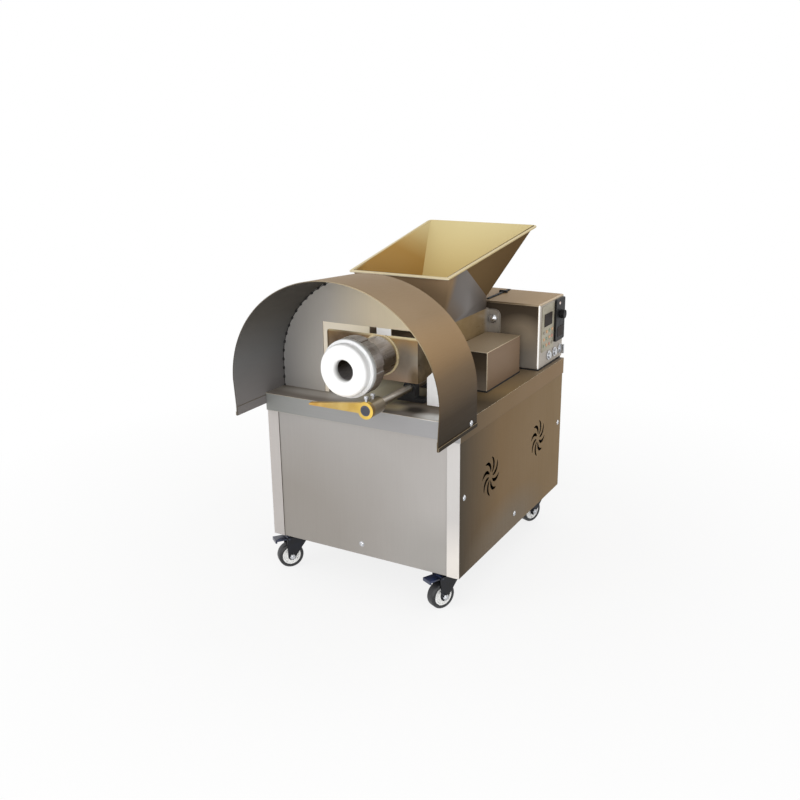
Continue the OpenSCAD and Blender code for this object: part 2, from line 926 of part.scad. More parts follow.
module gear_reducer() {
    color(grey_paint) on_floor() difference() {
        translate([auger_x - reducer_w / 2, reducer_back - reducer_l, sheet])
            cube([reducer_w, reducer_l, reducer_h]);
        translate([auger_x, reducer_back - reducer_bore_len, reducer_axis_h])
            rod_y(auger_shaft_r + run_gap, reducer_bore_len + over);
    }
}

module drive_motor() {
    color(grey_paint) on_floor()
        translate([auger_x, reducer_back - reducer_l - drive_motor_len, reducer_axis_h]) {
            rod_y(drive_motor_r, drive_motor_len);
            translate([-terminal_w / 2, terminal_l / 2, 0])
                cube([terminal_w, terminal_l, drive_motor_r + terminal_h]);
        }
}

// Hopper
function rim_z(y) = rim_front_h + (y - rim_front) * tan(rim_tilt);

// Corners of the hopper's walls, set in from the neck and from the rim
function hopper_points(neck_in, rim_in, extra) =
    let (
        y_front = rim_front + rim_in,
        y_back = rim_back - rim_in,
        y_fold = y_front + fold_share * (y_back - y_front),
        half_front = rim_front_half - rim_in,
        half_back = rim_back_half - rim_in,
        half_fold = half_front + fold_share * (half_back - half_front),
        z_low = chamber_top - extra,
        z_neck = chamber_top + neck_rise
    )
    [
        [neck_left + neck_in, neck_front + neck_in, z_low],
        [neck_right - neck_in, neck_front + neck_in, z_low],
        [neck_right - neck_in, neck_back - neck_in, z_low],
        [neck_left + neck_in, neck_back - neck_in, z_low],
        [neck_right - neck_in, neck_back - neck_in, z_neck],
        [neck_left + neck_in, neck_back - neck_in, z_neck],
        [-half_front, y_front, rim_z(y_front) + extra],
        [half_front, y_front, rim_z(y_front) + extra],
        [half_back, y_back, rim_z(y_back) + extra],
        [-half_back, y_back, rim_z(y_back) + extra],
        [half_fold, y_fold, rim_z(y_fold) + extra],
        [-half_fold, y_fold, rim_z(y_fold) + extra]
    ];

// Corner numbers of each wall, seen clockwise from outside
hopper_faces = [
    [0, 1, 2, 3], [6, 11, 9, 8, 10, 7], [0, 6, 7, 1], [2, 4, 5, 3], [4, 8, 9, 5],
    [1, 4, 2], [1, 10, 4], [1, 7, 10], [4, 10, 8],
    [0, 3, 5], [0, 5, 11], [0, 11, 6], [5, 9, 11]
];

module rim_outline(inset) {
    long = rim_len / cos(rim_tilt);
    polygon([
        [-rim_front_half + inset, inset],
        [rim_front_half - inset, inset],
        [rim_back_half - inset, long - inset],
        [-rim_back_half + inset, long - inset]
    ]);
}

module hopper() {
    inner_in = lip_w + rim_wall;
    color(gold_steel) on_deck() {
        difference() {
            polyhedron(hopper_points(0, lip_w, 0), hopper_faces);
            polyhedron(hopper_points(hopper_wall, inner_in, over), hopper_faces);
        }
        translate([0, rim_front, rim_front_h]) rotate([rim_tilt, 0, 0]) translate([0, 0, -lip_t])
            linear_extrude(lip_t) difference() {
                rim_outline(0);
                rim_outline(inner_in);
            }
    }
}

// Rear boxes and controls
module rear_box(left, right) {
    translate([left, box_front, 0]) open_cover([right - left, box_back - box_front, box_h]);
    translate([left, box_back - box_lip, 0]) cube([right - left, box_lip, sheet]);
}

module drive_cover() {
    color(warm_steel) on_deck() difference() {
        rear_box(-box_right, seam_x);
        translate([auger_x, box_front - over, auger_h]) rod_y(shaft_hole_r, sheet + 2 * over);
        translate([auger_x - ear_bolt_dx, box_front - over, ear_bolt_h])
            rod_y(bolt_hole_r, sheet + 2 * over);
    }
}

module control_box() {
    wall_x = box_right - sheet - over;
    color(warm_steel) on_deck() difference() {
        rear_box(seam_x, box_right);
        translate([auger_x + ear_bolt_dx, box_front - over, ear_bolt_h])
            rod_y(bolt_hole_r, sheet + 2 * over);
        for (i = [0:2])
            translate([wall_x, switch_y + i * switch_pitch, switch_z])
                rod_x(button_r + slip_gap, sheet + 2 * over);
        translate([wall_x, knob_y, knob_z]) rod_x(knob_shaft_r + slip_gap, sheet + 2 * over);
    }
}

module seam_strip() {
    strip_l = box_back - box_front - 2 * strip_inset;
    color(black) on_deck() {
        translate([seam_x - strip_w / 2, box_front + strip_inset, box_h])
            cube([strip_w, strip_l, strip_t]);
        translate([seam_x - clip_w / 2, clip_y, box_h]) cube([clip_w, clip_l, 2 * strip_t]);
    }
}

module keypad() {
    color(steel) on_deck() plate_x(box_right, keypad_t)
        translate([keypad_y, keypad_z]) rounded_rect(keypad_w, keypad_h, panel_round);
}

module display_window() {
    color(black) on_deck() plate_x(box_right + keypad_t, window_t)
        translate([keypad_y + (keypad_w - display_w) / 2, display_z])
            rounded_rect(display_w, display_h, panel_round / 2);
}

module speed_panel() {
    color(black) on_deck() plate_x(box_right, speed_panel_t) difference() {
        translate([speed_panel_y, speed_panel_z])
            rounded_rect(speed_panel_w, speed_panel_h, panel_round);
        translate([knob_y, knob_z]) circle(r = knob_shaft_r + run_gap);
    }
}

module speed_knob() {
    knob_x = box_right + speed_panel_t + slip_gap;
    shaft_x = box_right - 2 * sheet;
    color(rubber) on_deck() translate([0, knob_y, knob_z]) {
        translate([shaft_x, 0, 0]) rod_x(knob_shaft_r, knob_x - shaft_x + over);
        difference() {
            translate([knob_x, 0, 0]) rod_x(knob_r, knob_len);
            translate([knob_x + knob_len - knob_mark_d, -knob_mark_w / 2, 0])
                cube([knob_mark_d + over, knob_mark_w, knob_r + over]);
        }
    }
}

module switch_bezels() {
    color(bright) on_deck() plate_x(box_right, bezel_t) for (i = [0:2])
        translate([switch_y + i * switch_pitch, switch_z]) difference() {
            circle(r = bezel_r);
            circle(r = button_r + run_gap);
        }
}

module push_button(place) {
    flange_x = box_right - sheet - slip_gap - button_flange_t;
    on_deck() translate([flange_x, switch_y + place * switch_pitch, switch_z]) {
        rod_x(button_r, box_right + bezel_t + button_head - flange_x);
        rod_x(button_r + button_flange_t, button_flange_t);
    }
}

module start_button() {
    color(bright) push_button(0);
}

module stop_button() {
    color(bright) push_button(1);
}

module selector_switch() {
    flange_x = box_right - sheet - slip_gap - button_flange_t;
    face_x = box_right + bezel_t + slip_gap;
    color(rubber) on_deck() translate([0, switch_y + 2 * switch_pitch, switch_z]) {
        translate([flange_x, 0, 0]) rod_x(button_r, face_x - flange_x + over);
        translate([flange_x, 0, 0]) rod_x(button_r + button_flange_t, button_flange_t);
        translate([face_x, -selector_bar_w / 2, -bezel_r])
            cube([selector_bar_h, selector_bar_w, 2 * bezel_r]);
    }
}

// Knife and its drive
module gear_cover() {
    slot_top = knife_h + belt_r + belt_t + belt_slot_gap;
    color(warm_steel) on_deck() difference() {
        translate([cover_left, cover_front, 0])
            open_cover([gear_cover_w, gear_cover_l, gear_cover_h]);
        translate([cover_left - over, pulley_y - belt_slot_gap, -over])
            cube([sheet + 2 * over, pulley_w + 2 * belt_slot_gap, slot_top + over]);
    }
}

module knife_motor() {
    plate_half = motor_r + belt_slot_gap;
    color(grey_paint) on_deck() translate([motor_x, motor_y, knife_h]) difference() {
        union() {
            translate([-plate_half, 0, -knife_h])
                cube([2 * plate_half, motor_plate_t, knife_h + plate_half]);
            rod_y(motor_r, motor_len);
        }
        translate([0, -over, 0])
            rod_y(motor_shaft_r + run_gap, motor_plate_t + motor_bore_len + over);
    }
}

module motor_pulley() {
    shaft_l = motor_y + motor_bore_len - pulley_y;
    color(dark_steel) on_deck() translate([motor_x, pulley_y, knife_h]) {
        rod_y(pulley_r, pulley_w);
        rod_y(motor_shaft_r, shaft_l);
    }
}

module knife_belt() {
    span = motor_x - knife_x;
    color(rubber) on_deck() translate([knife_x, 0, knife_h]) plate_y(pulley_y, pulley_w)
        difference() {
            stadium(belt_r + belt_t, span);
            stadium(belt_r, span);
        }
}

module knife_shaft() {
    shaft_l = pulley_y + pulley_w + belt_slot_gap - blade_front;
    color(bright) on_deck() translate([knife_x, 0, knife_h]) {
        translate([0, blade_front, 0]) rod_y(knife_shaft_r, shaft_l);
        translate([0, pulley_y, 0]) rod_y(pulley_r, pulley_w);
    }
}

module knife_bearings() {
    color(black) on_deck() translate([knife_x, 0, 0])
        for (y = [knife_bearing_front, knife_bearing_rear]) plate_y(y, knife_bearing_w)
            difference() {
                union() {
                    translate([0, knife_h]) circle(r = knife_bearing_r);
                    translate([-knife_bearing_r, 0]) square([2 * knife_bearing_r, knife_h]);
                    translate([-knife_foot_w / 2, 0]) square([knife_foot_w, knife_foot_h]);
                }
                translate([0, knife_h]) circle(r = knife_shaft_r + run_gap);
            }
}

module knife_hub() {
    color(dark_steel) on_deck() translate([knife_x, blade_front, knife_h]) difference() {
        union() {
            rod_y(hub_nose_r, hub_len);
            translate([0, blade_t, 0]) rod_y(hub_r, hub_len - blade_t);
        }
        translate([0, -over, 0]) rod_y(knife_shaft_r, hub_len + 2 * over);
        for (y = [ring_bolt_y, hub_bolt_y])
            translate([0, y - blade_front, 0]) cylinder(r = knife_bolt_r, h = hub_r + over);
    }
}

// Tall bolt whose head stands clear of the round it clamps
module knife_bolt(y, clamped_r) {
    head_z = clamped_r + knife_bolt_stand;
    translate([knife_x, y, knife_h + head_z])
        domed_bolt(knife_bolt_head_r, knife_bolt_head_h, knife_bolt_r, head_z - knife_shaft_r);
}

module knife_bolts() {
    color(bright) on_deck() {
        knife_bolt(ring_bolt_y, ring_r);
        knife_bolt(hub_bolt_y, hub_r);
    }
}

module knife_blade() {
    top = blade_w * blade_top_share;
    bottom = top - blade_w;
    tip_r = blade_tip_w / 2;
    tip_x = tip_r - blade_len;
    color(blade_yellow) on_deck() translate([knife_x, 0, knife_h]) difference() {
        plate_y(blade_front, blade_t) difference() {
            union() {
                circle(r = ring_r);
                polygon([[0, top], [tip_x, bottom + blade_tip_w], [tip_x, bottom], [0, bottom]]);
                translate([tip_x, bottom + tip_r]) circle(r = tip_r);
            }
            circle(r = hub_nose_r);
        }
        translate([0, ring_bolt_y, 0]) cylinder(r = knife_bolt_r + seat_gap, h = ring_r + over);
    }
}

// Inlet for the mains lead, with its own clamping nut
module cable_gland() {
    neck_l = 3 * sheet;
    color(black) on_floor() translate([gland_x, cabinet_d - 2 * sheet, gland_z]) difference() {
        union() {
            translate([0, -neck_l, 0]) rod_y(gland_neck_r, neck_l);
            rotate([-90, 0, 0]) cylinder(r = gland_r, h = gland_nut_len, $fn = 6);
            rod_y(gland_neck_r, gland_len);
        }
        translate([0, -neck_l - over, 0]) rod_y(gland_bore_r, neck_l + gland_len + 2 * over);
    }
}

// Castors
module at_castor(i) {
    place = castor_places[i];
    x = (cabinet_w / 2 - castor_inset) * place.x;
    y = castor_inset + (cabinet_d - 2 * castor_inset) * place.y;
    translate([x, front_y + y, 0]) children();
}

module turned_castor(i) {
    at_castor(i) rotate([0, 0, castor_turns[i]]) children();
}

module castor_plates() {
    plate_z = castor_h - castor_plate_t;
    color(black) for (i = [0:3]) at_castor(i) difference() {
        union() {
            translate([-castor_plate_w / 2, -castor_plate_l / 2, plate_z])
                cube([castor_plate_w, castor_plate_l, castor_plate_t]);
            translate([0, 0, plate_z - race_h]) cylinder(r = race_r, h = race_h);
        }
        translate([0, 0, plate_z - race_h - over])
            cylinder(r = king_r + run_gap, h = race_h + castor_plate_t + 2 * over);
    }
}

module arm_outline(braked) {
    nose = pedal_y + pedal_r + over;
    difference() {
        union() {
            polygon([
                [crown_rear, crown_top],
                [-nose, crown_top],
                [-nose, pedal_z - pedal_r],
                [-castor_trail - axle_boss_r, wheel_r],
                [-castor_trail + axle_boss_r, wheel_r],
                [crown_rear, crown_z]
            ]);
            translate([-castor_trail, wheel_r]) circle(r = axle_boss_r);
        }
        if (braked) translate([-pedal_y, pedal_z]) circle(r = pedal_pin_r + run_gap);
    }
}

module castor_fork(i) {
    braked = castor_places[i].y == 0;
    arm_out = arm_x + arm_t;
    color(black) turned_castor(i) {
        translate([0, 0, crown_z]) cylinder(r = king_r, h = castor_h - crown_z - over);
        translate([-arm_out, -crown_l, crown_z]) cube([2 * arm_out, crown_l + crown_rear, crown_t]);
        for (x = [-arm_out, arm_x]) plate_x(x, arm_t) arm_outline(braked);
        translate([-arm_out, -castor_trail, wheel_r]) rod_x(axle_r, 2 * arm_out);
        for (x = [-arm_out - axle_nut_t, arm_out])
            translate([x, -castor_trail, wheel_r]) rotate([0, 90, 0])
                cylinder(r = axle_nut_r, h = axle_nut_t, $fn = 6);
    }
}

module castor_tyre(i) {
    edge = [
        for (a = [0:15:90])
            [wheel_r - tread_round * (1 - sin(a)), tread_round * (1 - cos(a))]
    ];
    far_edge = [for (k = [len(edge) - 1:-1:0]) [edge[k].x, wheel_w - edge[k].y]];
    color(rubber) turned_castor(i) translate([-wheel_w / 2, -castor_trail, wheel_r])
        rotate([0, 90, 0]) rotate_extrude()
            polygon(concat([[rim_r, 0]], edge, far_edge, [[rim_r, wheel_w]]));
}

module castor_hub(i) {
    color(nylon) turned_castor(i) translate([-rim_w / 2, -castor_trail, wheel_r]) difference() {
        rod_x(rim_r, rim_w);
        for (x = [-over, rim_w - hub_dish]) translate([x, 0, 0]) difference() {
            rod_x(hub_dish_r, hub_dish + over);
            rod_x(hub_core_r, hub_dish + over);
        }
        translate([-over, 0, 0]) rod_x(axle_r + run_gap, rim_w + 2 * over);
    }
}

module brake_pedal(i) {
    pin_half = arm_x + arm_t;
    half = arm_x - slip_gap;
    color(black) turned_castor(i) translate([0, -pedal_y, pedal_z]) {
        translate([-pin_half, 0, 0]) rod_x(pedal_pin_r, 2 * pin_half);
        translate([-half, 0, 0]) rod_x(pedal_r, 2 * half);
        translate([-half, -pedal_l, -pedal_t / 2]) cube([2 * half, pedal_l, pedal_t]);
        translate([-half, -pedal_l - pedal_t, -pedal_lip_h])
            cube([2 * half, pedal_t, pedal_lip_h + pedal_t / 2]);
    }
}

floor_tray();
left_side_panel();
right_side_panel();
front_panel();
rear_panel();
deck();
panel_screws();
guard_hood();
guard_back_plate();
window_trim();
feed_chamber();
barrel_tube();
ring_nut();
outlet_nozzle();
hopper();
chamber_bolts();
auger_screw();
auger_shaft();
auger_sprocket();
auger_bearing();
drive_sprocket();
drive_chain();
gear_reducer();
drive_motor();
drive_cover();
control_box();
seam_strip();
keypad();
display_window();
speed_panel();
speed_knob();
switch_bezels();
start_button();
stop_button();
selector_switch();
gear_cover();
knife_motor();
motor_pulley();
knife_belt();
knife_shaft();
knife_bearings();
knife_hub();
knife_blade();
knife_bolts();
cable_gland();
castor_plates();
castor_fork(0);  // castor_fork_fl
castor_fork(1);  // castor_fork_fr
castor_fork(2);  // castor_fork_rl
castor_fork(3);  // castor_fork_rr
castor_tyre(0);  // castor_tyre_fl
castor_tyre(1);  // castor_tyre_fr
castor_tyre(2);  // castor_tyre_rl
castor_tyre(3);  // castor_tyre_rr
castor_hub(0);  // castor_hub_fl
castor_hub(1);  // castor_hub_fr
castor_hub(2);  // castor_hub_rl
castor_hub(3);  // castor_hub_rr
brake_pedal(0);  // brake_pedal_fl
brake_pedal(1);  // brake_pedal_fr
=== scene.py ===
import json
import math

import bmesh
import bpy
from mathutils import Matrix, Vector


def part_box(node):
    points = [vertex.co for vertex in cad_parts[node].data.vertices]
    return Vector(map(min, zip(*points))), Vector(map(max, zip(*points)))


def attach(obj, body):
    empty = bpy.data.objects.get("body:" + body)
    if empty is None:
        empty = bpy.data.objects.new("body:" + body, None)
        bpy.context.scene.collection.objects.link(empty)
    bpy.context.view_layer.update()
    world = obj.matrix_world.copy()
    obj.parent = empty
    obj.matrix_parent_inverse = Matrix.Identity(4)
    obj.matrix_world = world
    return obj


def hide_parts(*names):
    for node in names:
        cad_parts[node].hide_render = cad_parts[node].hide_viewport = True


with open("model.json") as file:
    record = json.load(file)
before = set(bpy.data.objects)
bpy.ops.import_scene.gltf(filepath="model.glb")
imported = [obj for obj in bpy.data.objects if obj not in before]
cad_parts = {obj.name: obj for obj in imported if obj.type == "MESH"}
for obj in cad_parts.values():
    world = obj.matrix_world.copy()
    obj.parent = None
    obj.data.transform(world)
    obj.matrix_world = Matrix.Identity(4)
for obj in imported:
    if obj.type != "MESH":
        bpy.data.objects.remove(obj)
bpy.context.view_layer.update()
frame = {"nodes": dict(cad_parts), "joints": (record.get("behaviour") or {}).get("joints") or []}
scene = bpy.context.scene
joints = {joint["name"]: joint for joint in frame["joints"]}
deckLow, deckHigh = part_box("deck")
augerAxis = Vector(joints["auger_spin"]["pos_m"])
white = (255, 255, 255)
smallest = 1e-6  # closer points are one point
weld = smallest * 5  # the same for corners of CAD nodes
flatAngle = 0.5  # degrees between CAD faces that are one flat face
sharpAngle = 32  # degrees between faces that keep a sharp edge
roundAngle = 40  # the same for patterns


# place on the machine: from its middle, from the deck's front edge, above the deck
def spot(across, along, above):
    return Vector((across, deckLow.y + along, deckHigh.z + above))


# screen colour, 0 to 255, as linear light
def paint(colour):
    shares = [part / 255 for part in colour]
    return [s / 12.92 if s <= 0.04045 else ((s + 0.055) / 1.055) ** 2.4 for s in shares] + [1]


# camera of the photo
photoView = {"place": (1.0351, -1.8923, 1.0649), "heading": 29.707, "tilt": 17.371, "roll": -0.675,
             "lens": 41.69, "sensor": 36}


def addCamera(view):
    heading, tilt, roll = (math.radians(view[key]) for key in ("heading", "tilt", "roll"))
    level = math.cos(tilt)
    ahead = Vector((-math.sin(heading) * level, math.cos(heading) * level, -math.sin(tilt)))
    right = ahead.cross(Vector((0, 0, 1))).normalized()
    above = right.cross(ahead)
    across = math.cos(roll) * right + math.sin(roll) * above
    above = math.cos(roll) * above - math.sin(roll) * right
    lens = bpy.data.cameras.new("photoCamera")
    lens.lens = view["lens"]
    lens.sensor_width = view["sensor"]
    camera = bpy.data.objects.new("photoCamera", lens)
    facing = Matrix((across, above, -ahead)).transposed().to_4x4()
    camera.matrix_world = Matrix.Translation(view["place"]) @ facing
    scene.collection.objects.link(camera)
    scene.camera = camera


addCamera(photoView)
print("camera placed")


# node tools: a socket that takes part in sums, and a bench that makes nodes
class Wire:
    def __init__(self, bench, socket):
        self.bench = bench
        self.socket = socket

    def work(self, operation, first, second):
        return self.bench.add("ShaderNodeMath", {"operation": operation}, {0: first, 1: second})

    def __add__(self, other):
        return self.work("ADD", self, other)

    def __radd__(self, other):
        return self.work("ADD", other, self)

    def __sub__(self, other):
        return self.work("SUBTRACT", self, other)

    def __rsub__(self, other):
        return self.work("SUBTRACT", other, self)

    def __mul__(self, other):
        return self.work("MULTIPLY", self, other)

    def __rmul__(self, other):
        return self.work("MULTIPLY", other, self)

    def __pow__(self, other):
        return self.work("POWER", self, other)

    def fit(self, low, high):  # 0 at low, 1 at high
        sockets = {"Value": self, "From Min": low, "From Max": high}
        return self.bench.add("ShaderNodeMapRange", {}, sockets)


class Bench:
    def __init__(self, tree):
        self.tree = tree

    def add(self, kind, settings=None, sockets=None, output=0):
        made = self.tree.nodes.new(kind)
        for key, value in (settings or {}).items():
            if key == "stops":
                self.setStops(made.color_ramp.elements, value)
            else:
                setattr(made, key, value)
        for key, value in (sockets or {}).items():
            self.feed(made.inputs[key], value)
        return Wire(self, made.outputs[output]) if made.outputs else None

    def feed(self, socket, value):
        if isinstance(value, Wire):
            self.tree.links.new(value.socket, socket)
        else:
            socket.default_value = value

    def setStops(self, elements, stops):
        while len(elements) < len(stops):
            elements.new(1)
        for element, (place, colour) in zip(elements, stops):
            element.position = place
            element.color = paint(colour)

    def outputs(self, wire):
        return [Wire(self, socket) for socket in wire.socket.node.outputs]

    # 1 for rays that show the stage itself: straight, mirrored or through glass
    def seen(self):
        rays = self.outputs(self.add("ShaderNodeLightPath"))
        named = {wire.socket.name: wire for wire in rays}
        return (named["Is Camera Ray"] + named["Is Glossy Ray"] + named["Is Transmission Ray"]).fit(0, 1)


# finishes: a colour is a screen colour, a wire, or tones graded along an axis
class Finish(Bench):
    def __init__(self, name):
        self.material = bpy.data.materials.new(name)
        self.material.use_nodes = True
        super().__init__(self.material.node_tree)
        self.shader = self.tree.nodes["Principled BSDF"]
        self.place = self.add("ShaderNodeTexCoord", output="Object")
        self.x, self.y, self.z = self.outputs(self.add("ShaderNodeSeparateXYZ", {}, {0: self.place}))
        facing = self.add("ShaderNodeTexCoord", output="Normal")
        self.sideways, self.backwards, self.above = self.outputs(
            self.add("ShaderNodeSeparateXYZ", {}, {0: facing}))

    def noise(self, scale, detail=3.0, stretch=(1, 1, 1)):
        spread = self.add("ShaderNodeMapping", {}, {"Vector": self.place, "Scale": stretch})
        return self.add("ShaderNodeTexNoise", {}, {"Vector": spread, "Scale": scale, "Detail": detail})

    def vector(self, operation, *parts, output=0):
        return self.add("ShaderNodeVectorMath", {"operation": operation}, dict(enumerate(parts)), output)

    def tone(self, colour):
        if isinstance(colour, Wire):
            return colour
        if not isinstance(colour, dict):
            return paint(colour)
        low, high = colour["stops"][0][0], colour["stops"][-1][0]
        stops = [((place - low) / (high - low), shade) for place, shade in colour["stops"]]
        along = getattr(self, colour["axis"]).fit(low, high)
        return self.add("ShaderNodeValToRGB", {"stops": stops}, {"Fac": along})

    def mix(self, share, first, second, blend="MIX"):
        settings = {"data_type": "RGBA", "blend_type": blend}
        sockets = {0: share, 6: self.tone(first), 7: self.tone(second)}
        return self.add("ShaderNodeMix", settings, sockets, output=2)

    # soft patches of other colours, most of them painted highlights, reflections and shade: place, reach,
    # colour and share
    def patched(self, colour, patches):
        for place, reach, patch, share in patches:
            away = self.vector("DIVIDE", self.vector("SUBTRACT", self.place, place), reach)
            far = self.vector("LENGTH", away, output="Value")
            colour = self.mix((1 - far.fit(*patchRim)) * share, colour, patch)
        return colour

    def bump(self, height, strength, depth=0.0002):
        return self.add("ShaderNodeBump", {}, {"Strength": strength, "Distance": depth, "Height": height})

    def close(self, colour, roughness, metallic=0.0, normal=None, coat=0.0, shine=0.5):
        fed = {"Base Color": self.tone(colour), "Roughness": roughness, "Metallic": metallic,
               "Coat Weight": coat, "Specular IOR Level": shine}
        if normal:
            fed["Normal"] = normal
        for key, value in fed.items():
            self.feed(self.shader.inputs[key], value)
        return self.material

    # white light over the finish by a share
    def glow(self, share):
        light = self.add("ShaderNodeEmission", {}, {"Color": paint(white), "Strength": 1.0})
        plain = Wire(self, self.shader.outputs[0])
        mixed = self.add("ShaderNodeMixShader", {}, {0: share, 1: plain, 2: light})
        self.tree.links.new(mixed.socket, self.tree.nodes["Material Output"].inputs["Surface"])


def graded(axis, *stops):
    return {"axis": axis, "stops": stops}


# ranges that become 0 to 1: all of a noise, its upper part, how far a face looks one way, a patch's rim
middle = (0.3, 0.7)
upper = (0.45, 0.7)
faced = (0.35, 0.75)
patchRim = (0.35, 1)


# brushed sheet: tones by the way a face looks, which are painted light, shade and reflections, fine streaks
# along the grain and faint clouds
def sheetSteel(name, look):
    steel = Finish(name)
    facesFront = (0 - steel.backwards).fit(*faced)
    colour = steel.mix(facesFront, look["side"], look["front"])
    colour = steel.mix(steel.above.fit(*look["level"]), colour, look["top"])
    # a paler tone where a face turns both sideways and forward: a painted highlight on rounded corners
    if "corner" in look:
        atCorner = (steel.sideways * (0 - steel.backwards)).fit(0.1, 0.4)
        colour = steel.mix(atCorner, colour, look["corner"])
    # soft patches: painted highlights, reflections and shade
    colour = steel.patched(colour, look["patches"])
    streaks = steel.noise(look["grain"], 3.0, look["along"]).fit(*middle)
    clouds = steel.noise(4.5, 2.0, (1, 1, 0.7)).fit(0.35, 0.7)
    colour = steel.mix(streaks * look["streak"], colour, (168, 164, 158), "MULTIPLY")
    colour = steel.mix(clouds * look["cloud"], colour, (204, 196, 184), "MULTIPLY")
    rough = look["rough"] + 0.08 * streaks + 0.06 * clouds
    return steel.close(colour, rough, look["metal"], steel.bump(streaks, 0.03), shine=look["shine"])


def brushed(side, front, top, along, **more):
    return {"side": side, "front": front, "top": top, "along": along, "grain": 3.0, "streak": 0.04,
            "cloud": 0.10, "rough": 0.40, "metal": 0.15, "shine": 0.05, "level": faced,
            "patches": [], **more}


# turned metal: fine rings about an axis, stains, and tones by the way a face looks, which are painted light,
# shade and reflections
def turnedMetal(name, look):
    metal = Finish(name)
    facesUp = metal.above.fit(0.1, 0.8)
    facesFront = (0 - metal.backwards).fit(0.5, 0.8)
    colour = metal.mix(facesUp, look["side"], look["top"])
    colour = metal.mix(facesFront, colour, look["front"])
    colour = metal.patched(colour, look["patches"])
    rings = metal.noise(look["grain"], 3.0, look["along"]).fit(*middle)
    stains = metal.noise(36, 4.0).fit(*upper)
    colour = metal.mix(rings * look["ring"], colour, (150, 142, 134), "MULTIPLY")
    colour = metal.mix(stains * look["stain"], colour, look["stainColour"])
    rough = look["rough"] + 0.10 * rings + 0.08 * stains
    return metal.close(colour, rough, look["metal"], metal.bump(rings, 0.08), shine=look["shine"])


def turned(side, front, top, along, **more):
    return {"side": side, "front": front, "top": top, "along": along, "grain": 3.0, "ring": 0.25,
            "stain": 0.2, "stainColour": (120, 106, 88), "rough": 0.26, "metal": 0.4, "shine": 0.3,
            "patches": [], **more}


# plain coats, plastics and rubbers: two close colours, mottled, with a fine texture
def coated(name, look):
    coat = Finish(name)
    mottle = coat.noise(look["mottle"], 4.0).fit(*middle)
    colour = coat.mix(mottle, look["colour"], look["second"])
    rough = look["rough"] + 0.14 * mottle
    normal = coat.bump(coat.noise(look["fine"], 2.0), look["bump"], 0.0004)
    return coat.close(colour, rough, look["metal"], normal, look["coat"], look["shine"])


def coating(colour, second, **more):
    return {"colour": colour, "second": second, "metal": 0.0, "coat": 0.0, "shine": 0.5, **more}


upright = (260, 260, 4)  # grain along Z
lengthwise = (260, 4, 260)  # grain along Y
crosswise = (4, 260, 260)  # grain along X
anyWay = (30, 30, 30)
around = (8, 200, 8)  # rings about Y
alongTube = (60, 3, 60)

